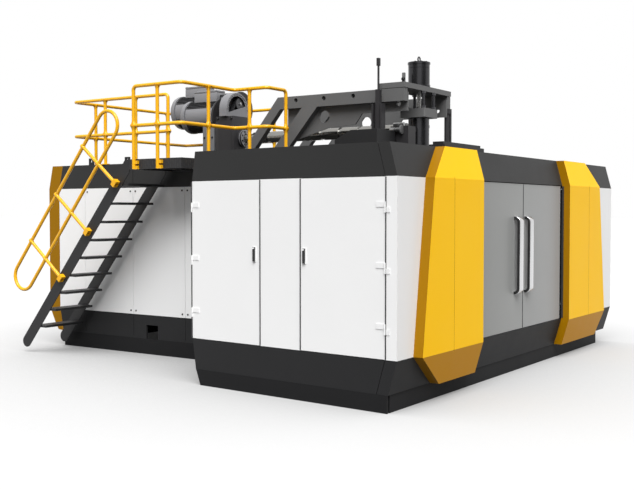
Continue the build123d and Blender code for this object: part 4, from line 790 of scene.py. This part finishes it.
@dataclass
class Extruder:
    """The two motors, the belt guard's trim and the gearbox's fixings."""

    near: Motor = field(default_factory=lambda: Motor(0.0, 3.177, 3.073, 3.698, 0.450))
    far: Motor = field(default_factory=lambda: Motor(0.460, 3.312, 3.110, 4.292, 0.480, box_inset=0.593))
    guard_centre: Pair = (0.0, 3.239)
    guard_radius: float = 0.239
    guard_y: Pair = (2.828, 2.953)
    gearbox_half: float = 0.200
    gearbox_y: Pair = (2.737, 3.055)
    gearbox_top: float = 3.145
    neck_x: Pair = (0.036, 0.150)
    neck_top: float = 3.400
    ring_radius: float = 0.117
    ring_depth: float = 0.067
    ring_bolts: float = 0.092
    barrel_z: float = 2.845
    pedestal_length: float = 0.200
    pedestal_step: float = 0.038
    hub: Pair = (0.090, 3.335)
    roof: float = 2.466

    def guard_trim(self) -> Piece:
        """A raised rim round the guard's arch, bolts in it and the cap on the pulley's hub."""
        (x, z), front, radius = self.guard_centre, self.guard_y[0], self.guard_radius
        angles = [pi * step / 36 for step in range(37)]
        outer, inner = ([(x + r * cos(a), z + r * sin(a)) for a in angles] for r in (radius, radius - 0.022))
        lip = Piece.prism([*outer, *reversed(inner)], 0.008).coat(MOTOR_GREY)
        lip.place((0, front + 0.001, 0), FRONT)
        reach, angles = radius - 0.034, [radians(8 + 27 * step) for step in range(7)]
        points = [(x + reach * cos(a), front, z + reach * sin(a)) for a in angles]
        cap = Piece.lathe([(0, 0.022), (0.012, 0.022), (0.018, 0.012)], 24).coat(ZINC)
        cap.place((self.hub[0], front + 0.024, self.hub[1]), FRONT)
        return lip.join(bolt_heads(points, 0.008, FRONT, ZINC), cap)

    def sensor_box(self) -> Piece:
        """The small dark sensor box between the near motor's flange and the belt guard, on its bracket."""
        low, high = self.guard_y[1] + 0.02, self.near.front + 0.03
        top = self.near.z + self.near.diameter / 2
        box = Piece.block((-0.05, low, top), (0.05, high, top + 0.062)).bevel(0.006).coat(NYLON)
        plate = Piece.block((-0.075, low - 0.01, top - 0.08), (-0.062, high - 0.04, top + 0.02)).bevel(0.003)
        return box.join(plate.coat(PEDESTAL))

    def housing(self) -> Piece:
        """The gearbox: bevelled housing with a cover plate on each side, its neck and its bolts."""
        half, (low, high) = self.gearbox_half, self.gearbox_y
        box = Piece.block((-half, low, self.roof), (half, high, self.gearbox_top)).bevel(0.006)
        box.inset(lambda centre, normal: abs(normal.x) > 0.99 and abs(centre.x) > half * 0.9, 0.055, 0.0)
        well = Piece.block((-0.1, self.guard_y[0] + 0.006, 3.077), (0.1, self.guard_y[1] - 0.006, 3.2))
        box.cut(well)
        left_x, right_x = self.neck_x
        neck = Piece.block((left_x, self.guard_y[1] + 0.001, 3.14), (right_x, high, self.neck_top))
        body = box.join(neck.bevel(0.012, 3)).coat(DARK_ENAMEL)
        depths, heights = (low + 0.038, high - 0.038), (self.gearbox_top - 0.03, self.roof + 0.05)
        left, right = (
            bolt_heads([(side * half, y, z) for y in depths for z in heights], 0.02, (side, 0, 0))
            for side in (-1, 1)
        )
        return body.join(left, right)

    def ring(self) -> Piece:
        """The stepped output flange round the barrel."""
        outer, depth = self.ring_radius, self.ring_depth
        rings = [(0, outer), (0.03, outer), (0.033, outer - 0.006), (depth - 0.012, outer - 0.006)]
        rings += [(depth - 0.009, outer), (depth, outer), (depth, 0.064), (0.05, 0.0605)]
        body = Piece.lathe(rings, 64).coat(MOTOR_GREY)
        body.tint(DARK_ENAMEL, lambda centre, normal: normal.z < 0.5)
        body.place((0, self.gearbox_y[0] + 0.001, self.barrel_z), FRONT)
        front = self.gearbox_y[0] - depth
        points = [(across, front, self.barrel_z + up) for across, up in bolt_circle(8, self.ring_bolts)]
        return body.join(bolt_heads(points, 0.012, FRONT))

    def pedestal(self, motor: Motor) -> Piece:
        """A welded pedestal with a saddle, a foot and bolts."""
        half = motor.diameter / 2 - self.pedestal_step
        left, right = motor.x - half, motor.x + half
        low = motor.front + motor.flange + 0.0004
        high = low + self.pedestal_length
        body = Piece.block((left, low, self.roof), (right, high, motor.z)).bevel(0.003)
        saddle = Piece.lathe([(level, motor.diameter / 2 + 0.0005) for level in (0, 1)], 72)
        body.cut(saddle.place((motor.x, low - 0.3, motor.z), BACK))
        foot = Piece.block((left - 0.012, low, self.roof), (right + 0.012, high, self.roof + 0.018))
        points = [(left, y, self.roof + z) for y in (low + 0.03, high - 0.03) for z in (0.06, 0.4)]
        return body.join(foot).coat(PEDESTAL).join(bolt_heads(points, 0.014, (-1, 0, 0)))

    def build(self) -> None:
        """Build the extruder's pieces."""
        for motor, side in ((self.near, "near"), (self.far, "far")):
            motor.build().deliver(f"motor_{side}", MACHINE, "motor_grey", ("extruder_motors",))
        self.guard_trim().deliver("belt_guard_trim", MACHINE, "motor_grey")
        self.sensor_box().deliver("motor_near_sensor_box", MACHINE, "drive_dark")
        self.housing().deliver("gearbox_housing", MACHINE, "drive_dark", ("drive_stands",))
        self.ring().deliver("gearbox_output_ring", MACHINE, "drive_dark", ("drive_stands",))
        for motor, side in ((self.near, "near"), (self.far, "far")):
            self.pedestal(motor).deliver(f"pedestal_{side}", MACHINE, "drive_dark", ("drive_stands",))


@dataclass
class Rails:
    """Guard rails of bent tube with flared tees, and the loop of the stair's handrail."""

    radius: float = 0.022
    top: float = 3.325
    middle: float = 2.860
    landing_foot: float = 2.345
    roof_foot: float = 2.4764
    end_bend: float = 0.05
    corner_bend: float = 0.05
    slope: float = radians(50.5)
    hand_x: float = -2.205
    hand_lines: Pair = (4.030, 4.380)
    hand_ends: Pair = (-2.170, 0.270)
    stringer_line: float = 3.661
    struts: tuple[float, ...] = (-1.720, -0.955, -0.188)
    landing: tuple[Pair, ...] = (
        (-2.195, 2.640), (-2.195, 1.885), (-1.235, 1.885), (-1.235, 1.381), (-0.857, 1.381)
    )
    landing_posts: tuple[tuple[float, float, int], ...] = ((-2.195, 2.257, 1), (-1.720, 1.885, 0))
    roof: tuple[Pair, ...] = ((-1.390, 2.834), (-1.390, 4.547), (0.860, 4.547), (0.860, 2.834))
    roof_posts: tuple[tuple[float, float, int], ...] = (
        (-1.390, 3.398, 1), (-1.390, 3.956, 1), (0.860, 3.398, 1), (0.860, 3.956, 1), (-1.004, 4.547, 0),
        (0.445, 4.547, 0),
    )
    step_post: tuple[float, float, int] = (-1.235, 1.649, 1)

    def flare(self, point: Point, along: Point, up: int) -> Piece:
        """The saddle where a post meets a rail, wide along the rail.

        Args:
            point: Where the axes meet.
            along: Direction of the rail.
            up: 1 above the rail, -1 below it.

        Returns:
            The saddle.
        """
        profile = [(0.0, 0.046), (0.014, 0.040), (0.024, 0.031), (0.036, 0.0255), (0.052, 0.0225)]
        made = Piece.lathe(profile, 20)
        across = Vector((0, 0, 1)).cross(Vector(along))
        for corner in made.shape.data.vertices:
            side = corner.co.dot(across)
            if abs(side) > self.radius:
                corner.co -= across * (side - self.radius * side / abs(side)) * 0.9
        return made.place(point, (0, 0, up))

    def fence(
        self,
        path: Sequence[Pair],
        posts: Sequence[tuple[float, float, int, float]],
        feet: Sequence[float],
    ) -> Piece:
        """Build one rail: a top tube that bends into its end posts, a middle tube and the inner posts.

        Args:
            path: Corners in plan.
            posts: For each inner post its place, 0 or 1 for a rail along X or Y, and its foot.
            feet: Height of the foot of the first and the last post.

        Returns:
            The whole fence.
        """
        corners = [self.corner_bend] * (len(path) - 2)
        top = [(*path[0], feet[0]), *((x, y, self.top) for x, y in path), (*path[-1], feet[1])]
        tubes = [Piece.pipe(top, self.radius, [self.end_bend, *corners, self.end_bend])]
        tubes.append(Piece.pipe([(x, y, self.middle) for x, y in path], self.radius, corners))
        for x, y, turn, foot in posts:
            along = (0, 1, 0) if turn else (1, 0, 0)
            tubes.append(Piece.pipe([(x, y, foot), (x, y, self.top - 0.005)], self.radius))
            tubes.append(self.flare((x, y, self.top), along, -1))
            tubes += [self.flare((x, y, self.middle), along, up) for up in (-1, 1)]
        for (x, y), (next_x, _) in ((path[0], path[1]), (path[-1], path[-2])):
            along = (0, 1, 0) if abs(next_x - x) < 0.01 else (1, 0, 0)
            tubes += [self.flare((x, y, self.middle), along, up) for up in (-1, 1)]
        return tubes[0].join(*tubes[1:]).coat(RAIL_YELLOW)

    def stair_point(self, down: float, up: float) -> Point:
        """Point at a distance along and square to the flight."""
        along, rise = cos(self.slope), sin(self.slope)
        return self.hand_x, -down * along + up * rise, down * rise + up * along

    def handrail(self) -> Piece:
        """Sweep the closed loop and set its three struts."""
        (inner, outer), (low, high) = self.hand_lines, self.hand_ends
        bend, middle = (outer - inner) / 2, (low + high) / 2
        corners = ((middle, outer), (high + bend, outer), (high + bend, inner))
        corners += ((low - bend, inner), (low - bend, outer), (middle, outer))
        loop = [self.stair_point(down, up) for down, up in corners]
        made = Piece.pipe(loop, self.radius, [bend - 0.0005] * 4)
        lines = (self.stringer_line, outer)
        struts = [
            Piece.pipe([self.stair_point(strut, line) for line in lines], self.radius * 0.96)
            for strut in self.struts
        ]
        profile = [(-0.03, 0.0225), (-0.024, 0.025), (0, 0.028), (0.024, 0.025), (0.03, 0.0225)]
        aim = (0, sin(self.slope), cos(self.slope))
        collars = [
            Piece.lathe(profile, 20).place(self.stair_point(strut, line), aim)
            for strut in self.struts
            for line in self.hand_lines
        ]
        return made.join(*struts, *collars).coat(RAIL_YELLOW)

    def build(self) -> None:
        """Build the three rails."""
        low, high = self.landing_foot, self.roof_foot
        landing_posts = [*((*post, low) for post in self.landing_posts), (*self.step_post, high)]
        roof_posts = [(*post, high) for post in self.roof_posts]
        for name, made in (
            ("landing_rail", self.fence(self.landing, landing_posts, (low, high))),
            ("roof_rail", self.fence(self.roof, roof_posts, (high, high))),
            ("stair_handrail", self.handrail()),
        ):
            made.deliver(f"{name}_tubes", MACHINE, "rail_yellow", (name,), 50)


@dataclass
class DoorPull:
    """A chrome strap pull with a crowned face, bent back to the door at both ends, with a painted dark
    reflection on its sides.
    """

    name: str
    body: str
    low_x: float
    width: float = 0.108
    depth: float = 0.076
    bar: float = 0.036
    door_y: float = -1.352
    bottom: float = 0.908
    top: float = 1.790

    def bow(self, inset: float, steps: int = 8) -> list[Pair]:
        """Outline of the bow in height and depth, moved inwards by an inset."""
        bend, points = self.depth - self.bar / 4, []
        radius = bend - inset
        for centre, start in ((self.bottom + bend, -90), (self.top - bend, 0)):
            for step in range(steps + 1):
                turn = radians(start + 90 * step / steps)
                points.append((centre + radius * sin(turn), self.depth - bend + radius * cos(turn)))
        return [(self.bottom + inset, 0.0), *points, (self.top - inset, 0.0)]

    def build(self) -> None:
        """Extrude the bow, crown its edges, paint a dark reflection on its sides and set it on the door."""
        outline = [*self.bow(0.0), *reversed(self.bow(self.bar))]
        made = Piece.prism(outline, self.width).bevel(0.006, 3).coat(CHROME)
        # Painted reflection: the strap's side faces get the black nylon paint, as the dark stripes that
        # chrome shows there.
        made.tint(NYLON, lambda centre, normal: abs(normal.z) > 0.9)
        turn = Matrix(((0, 0, 1), (0, -1, 0), (1, 0, 0))).to_4x4()
        made.move(Matrix.Translation((self.low_x, self.door_y, 0)) @ turn)
        made.deliver(self.name.replace("door", "chrome"), self.body, "pull_chrome", (self.name,), 60)


@dataclass
class ParisonHead:
    """The upper cylinder with its eye, and the bolts of the flange."""

    radius: float = 0.131
    rim: float = 0.013
    foot: float = 3.352
    top: float = 3.655
    eye: float = 0.028
    eye_bar: float = 0.009
    cover_bolts: float = 0.098
    flange_top: float = 3.085
    flange_half: float = 0.170
    upright_at: Pair = (-0.200, 0.100)
    upright_half: Pair = (0.015, 0.018)
    upright_height: float = 0.166

    def cylinder(self) -> Piece:
        """Turn the cylinder with its end rings, and set the eye on it."""
        height, outer = self.top - self.foot, self.radius + self.rim / 2
        rings = [
            (0.0, outer), (0.024, outer), (0.027, outer - 0.003), (0.027, self.radius - 0.002),
            (0.034, self.radius - 0.002), (0.034, self.radius), (height - 0.075, self.radius),
            (height - 0.073, self.radius - 0.002), (height - 0.070, self.radius),
            (height - 0.030, self.radius), (height - 0.028, outer), (height - 0.004, outer),
            (height, outer - 0.004), (height, 0.05), (height + 0.004, 0.046), (height + 0.004, 0.02),
            (height + 0.016, 0.014),
        ]
        body = Piece.lathe(rings, 64).coat(HEAD_STEEL).place((0, 0, self.foot))
        sizes = {"major_radius": self.eye, "minor_radius": self.eye_bar}
        torus = added(bpy.ops.mesh.primitive_torus_add, major_segments=32, minor_segments=12, **sizes)
        eye = Piece(torus).coat(HEAD_STEEL)
        eye.place((0, 0, self.top + self.eye + self.eye_bar), BACK)
        ring = [(x, y, self.top) for x, y in bolt_circle(8, self.cover_bolts, 0)]
        return body.join(eye, bolt_heads(ring, 0.012))

    def upright(self) -> Piece:
        """The upright bracket beside the cylinder, with its bolt."""
        (x, y), (half_x, half_y), top = self.upright_at, self.upright_half, self.foot + self.upright_height
        plate = Piece.block((x - half_x, y - half_y, self.foot), (x + half_x, y + half_y, top))
        screw = bolt_heads([(x - half_x, y, self.foot + 0.088)], 0.022, (-1, 0, 0))
        return plate.bevel(0.004).coat(ARM_GREY).join(screw)

    def flange_bolts(self) -> Piece:
        """Bolts on the head flange."""
        reach = self.flange_half - 0.028
        pairs = [(a, b) for a in (-1, 1) for b in (-1, 1)]
        points = [(a * reach, b * 0.06, self.flange_top) for a, b in pairs]
        points += [(a * 0.06, b * reach, self.flange_top) for a, b in pairs]
        return bolt_heads(points, 0.016)

    def build(self) -> None:
        """Build the head's pieces."""
        cylinder = self.cylinder().join(self.upright())
        cylinder.deliver("head_cylinder_turned", MACHINE, "head_grey", ("head_cylinder",))
        self.flange_bolts().deliver("head_flange_bolts", MACHINE, "head_grey")


@dataclass
class Seals:
    """Rubber strips over the gaps round the doors, and on the doorway's right pillar."""

    side_bottom: float = 0.498
    side_top: float = 2.160
    thick: float = 0.0072
    edges: tuple[tuple[str, float, float], ...] = (
        ("front", -1.2435, -1.2335), ("front", -0.2450, -0.2350),
        ("rear", 0.2760, 0.2860), ("rear", 1.2447, 1.2547),
    )
    meeting_x: Pair = (-0.002, 0.014)
    door_y: float = -1.352
    door_z: Pair = (0.508, 2.156)
    pillar_x: Pair = (1.2478, 1.2510)
    sill_x: Pair = (-1.195, 1.200)
    sill_z: Pair = (0.492, 0.5045)
    pillar_reach: float = 0.030

    def side(self, side: int, which: str) -> Piece:
        """The strips along both upright edges of one side door; side is -1 left and 1 right."""
        strips = []
        for name, low_y, high_y in self.edges:
            if name == which:
                corners = ((low_y, 0.0), (high_y, 0.0), (high_y, self.thick), (low_y, self.thick))
                outline = [WALL.point(side, y, out, 0)[:2] for y, out in corners[::-side]]
                strip = Piece.prism(outline, self.side_top - self.side_bottom)
                strips.append(strip.place((0, 0, self.side_bottom)))
        return strips[0].join(*strips[1:]).coat(SEAL)

    def build(self) -> None:
        """Build the strips of the four side doors and of the sliding doors."""
        for side, hand in ((-1, "left"), (1, "right")):
            for which in ("front", "rear"):
                door = f"{hand}_{which}"
                self.side(side, which).deliver(f"door_seal_{door}", f"leaf_{door}", "handle_black")
        (low, high), face = self.door_z, self.door_y
        for name, body, finish, (low_x, high_x), (low_y, high_y), (foot, top) in (
            ("door_meeting_seal", "sliding_leaf_left", SEAL, self.meeting_x, (-0.0016, 0.01), (low, high)),
            ("doorway_right_seal", MACHINE, RUBBER, self.pillar_x, (-self.pillar_reach, -0.001), (low, high)),
            ("doorway_sill_brush", MACHINE, RUBBER, self.sill_x, (0.002, 0.022), self.sill_z),
        ):
            strip = Piece.block((low_x, face + low_y, foot), (high_x, face + high_y, top))
            strip.coat(finish).deliver(name, body, "handle_black")


@dataclass
class Valves:
    """Two round valve bodies with an eight-sided end flange, on the valve cabinet."""

    lower: Pair = (-0.460, 2.812)
    upper: Pair = (-0.380, 2.882)
    ends: Pair = (-0.008, 0.140)
    lower_radius: float = 0.026
    upper_radius: float = 0.021
    flange_radius: float = 0.057

    def build(self) -> None:
        """Lay the two bodies along Y and bolt the flange to the lower one."""
        low, high = self.ends
        bodies = []
        for (x, z), radius in ((self.lower, self.lower_radius), (self.upper, self.upper_radius)):
            rings = [(0, radius), (0.05, radius), (0.052, radius - 0.004), (0.058, radius - 0.004)]
            rings += [(0.06, radius), (high - low - 0.01, radius), (high - low, radius - 0.006)]
            bodies.append(Piece.lathe(rings, 32).coat(ZINC).place((x, low, z), BACK))
        x, z = self.lower
        flange = Piece.lathe([(level, self.flange_radius) for level in (0, 0.018)], 8).bevel(0.003)
        bodies.append(flange.coat(ARM_GREY).place((x, low, z), FRONT))
        saddle = Piece.block((x, low + 0.04, z - 0.015), (x + 0.09, high - 0.04, self.upper[1])).bevel(0.006)
        bodies[0].join(*bodies[1:], saddle.coat(NYLON)).deliver("head_valve_bodies", MACHINE, "head_grey")


@dataclass
class SwingHandle:
    """A black lever in its plate on a side door."""

    name: str
    side: int
    y: float
    bottom: float = 1.338
    height: float = 0.152
    width: float = 0.0307
    plate: float = 0.0084
    lever: float = 0.0116

    def build(self) -> None:
        """Model the lever flat, round its edges and set it on the wall."""
        half = self.width / 2
        lever = Piece.block((-half, 0, 0), (half, self.height - 0.006, self.lever)).bevel(0.004, 3)
        lever.inset(lambda centre, normal: normal.z > 0.9 and centre.z > self.lever - 0.001, 0.004, -0.0015)
        lever.coat(NYLON)
        aim, up = Vector(WALL.outwards(self.side)), Vector(UP)
        turn = Matrix((up.cross(aim), up, aim)).transposed().to_4x4()
        lever.move(Matrix.Translation(WALL.point(self.side, self.y, self.plate, self.bottom + 0.003)) @ turn)
        name = f"lever_{self.name}"
        lever.deliver(name, name, "handle_black", (f"swing_handle_{self.name}",))


@dataclass
class Studio:
    """Pale floor, soft light and the camera at the photograph's angle."""

    sun_strength: float = 5.4
    sun_angle: float = radians(50)
    sun_from: Point = (-0.48, -0.36, 0.80)
    focal_length: float = 55.46
    camera_at: Point = (-10.6005, -5.6795, 1.85)
    camera_turn: Point = (radians(88), 0, radians(-55.89))
    floor_size: float = 400.0
    sky: float = 0.18
    floor_glow: float = 0.72
    floor_share: float = 0.22
    shade_reach: float = 5.0
    card_top: float = 9.0
    cards: tuple[tuple[Pair, Pair], ...] = (
        ((-20.0, 17.0), (-20.0, -3.5)), ((-15.4, -22.0), (6.0, -22.0))
    )

    @staticmethod
    def plane(name: str, size: float) -> tuple[bpy.types.Object, Tree]:
        """Add a square plane with a bare material, and return it with the material's nodes."""
        made = added(bpy.ops.mesh.primitive_plane_add, size=size)
        made.name = name
        paint = bpy.data.materials.new(f"{name}_paint")
        paint.use_nodes = True
        made.data.materials.append(paint)
        return made, paint.node_tree

    @staticmethod
    def seen(tree: Tree) -> Socket:
        """One for rays from the camera or off a glossy or clear surface, else zero."""
        path = add_node(tree, "ShaderNodeLightPath").outputs
        either = math_node(tree, "MAXIMUM", path["Is Camera Ray"], path["Is Glossy Ray"])
        return math_node(tree, "MAXIMUM", either, path["Is Transmission Ray"])

    def floor(self) -> None:
        """Lay the floor, which glows for the camera and darkens close to the machine."""
        _, tree = self.plane("studio_floor", self.floor_size)
        shader = tree.nodes["Principled BSDF"]
        shader.inputs["Base Color"].default_value = (self.floor_share, self.floor_share, self.floor_share, 1)
        shader.inputs["Roughness"].default_value = 0.9
        shader.inputs["Specular IOR Level"].default_value = 0.0
        shade = add_node(tree, "ShaderNodeAmbientOcclusion", {"Distance": self.shade_reach}).outputs["AO"]
        level = math_node(tree, "MULTIPLY", shade, self.floor_glow)
        glow = math_node(tree, "MULTIPLY", self.seen(tree), level)
        shader.inputs["Emission Color"].default_value = (1, 1, 1, 1)
        tree.links.new(glow, shader.inputs["Emission Strength"])

    def surround(self) -> None:
        """Make the world, white to the camera and to gloss."""
        world = bpy.data.worlds.new("studio_sky")
        bpy.context.scene.world = world
        world.use_nodes = True
        tree = world.node_tree
        span = {"To Min": self.sky, "To Max": 1.0}
        strength = add_node(tree, "ShaderNodeMapRange", span, {0: self.seen(tree)})
        background = tree.nodes["Background"].inputs
        background["Color"].default_value = (1, 1, 1, 1)
        tree.links.new(strength.outputs["Result"], background["Strength"])

    def dark_cards(self) -> None:
        """Stand black cards round the camera that only polished surfaces pick up."""
        for number, (start, end) in enumerate(self.cards):
            card, tree = self.plane(f"studio_dark_card_{number}", 1)
            clear = add_node(tree, "ShaderNodeBsdfTransparent").outputs[0]
            black = add_node(tree, "ShaderNodeEmission", {"Color": (0.02, 0.02, 0.02, 1)}).outputs[0]
            gloss = add_node(tree, "ShaderNodeLightPath").outputs["Is Glossy Ray"]
            mix = add_node(tree, "ShaderNodeMixShader", {}, {0: gloss, 1: clear, 2: black})
            tree.links.new(mix.outputs[0], tree.nodes["Material Output"].inputs["Surface"])
            along, middle = Vector(end) - Vector(start), (Vector(end) + Vector(start)) / 2
            card.scale = (along.length, self.card_top, 1)
            card.rotation_euler = (radians(90), 0, along.angle_signed(Vector((1, 0))))
            card.location = (*middle, self.card_top / 2)

    def light(self) -> None:
        """Hang one wide soft lamp high on the camera's side."""
        lamp = bpy.data.lights.new("studio_lamp", "SUN")
        lamp.energy, lamp.angle = self.sun_strength, self.sun_angle
        holder = bpy.data.objects.new("studio_lamp", lamp)
        bpy.context.scene.collection.objects.link(holder)
        holder.rotation_mode = "QUATERNION"
        holder.rotation_quaternion = Vector(self.sun_from).to_track_quat("Z", "Y")

    def camera(self) -> None:
        """Set the camera where the photograph was taken from."""
        lens = bpy.data.cameras.new("photo_camera")
        lens.lens, lens.sensor_width, lens.clip_end = self.focal_length, 36.0, 500.0
        holder = bpy.data.objects.new("photo_camera", lens)
        bpy.context.scene.collection.objects.link(holder)
        holder.location, holder.rotation_euler = self.camera_at, self.camera_turn
        bpy.context.scene.camera = holder

    def build(self) -> None:
        """Set up the studio."""
        bpy.context.scene.view_settings.view_transform = "Standard"
        self.floor()
        self.surround()
        self.dark_cards()
        self.light()
        self.camera()


def main() -> None:
    """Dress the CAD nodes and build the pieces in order."""
    logging.basicConfig(level=logging.INFO, format="%(name)s: %(message)s")
    Studio().build()
    dress_cad()
    Extruder().build()
    Rails().build()
    ParisonHead().build()
    Seals().build()
    Valves().build()
    for hand, low_x in (("left", -0.263), ("right", 0.039)):
        DoorPull(f"door_pull_{hand}", f"sliding_leaf_{hand}", low_x).build()
    for hand, side in (("left", -1), ("right", 1)):
        for which, y in (("front", -0.290), ("rear", 0.356)):
            SwingHandle(f"{hand}_{which}", side, y).build()


if __name__ == "__main__":
    main()
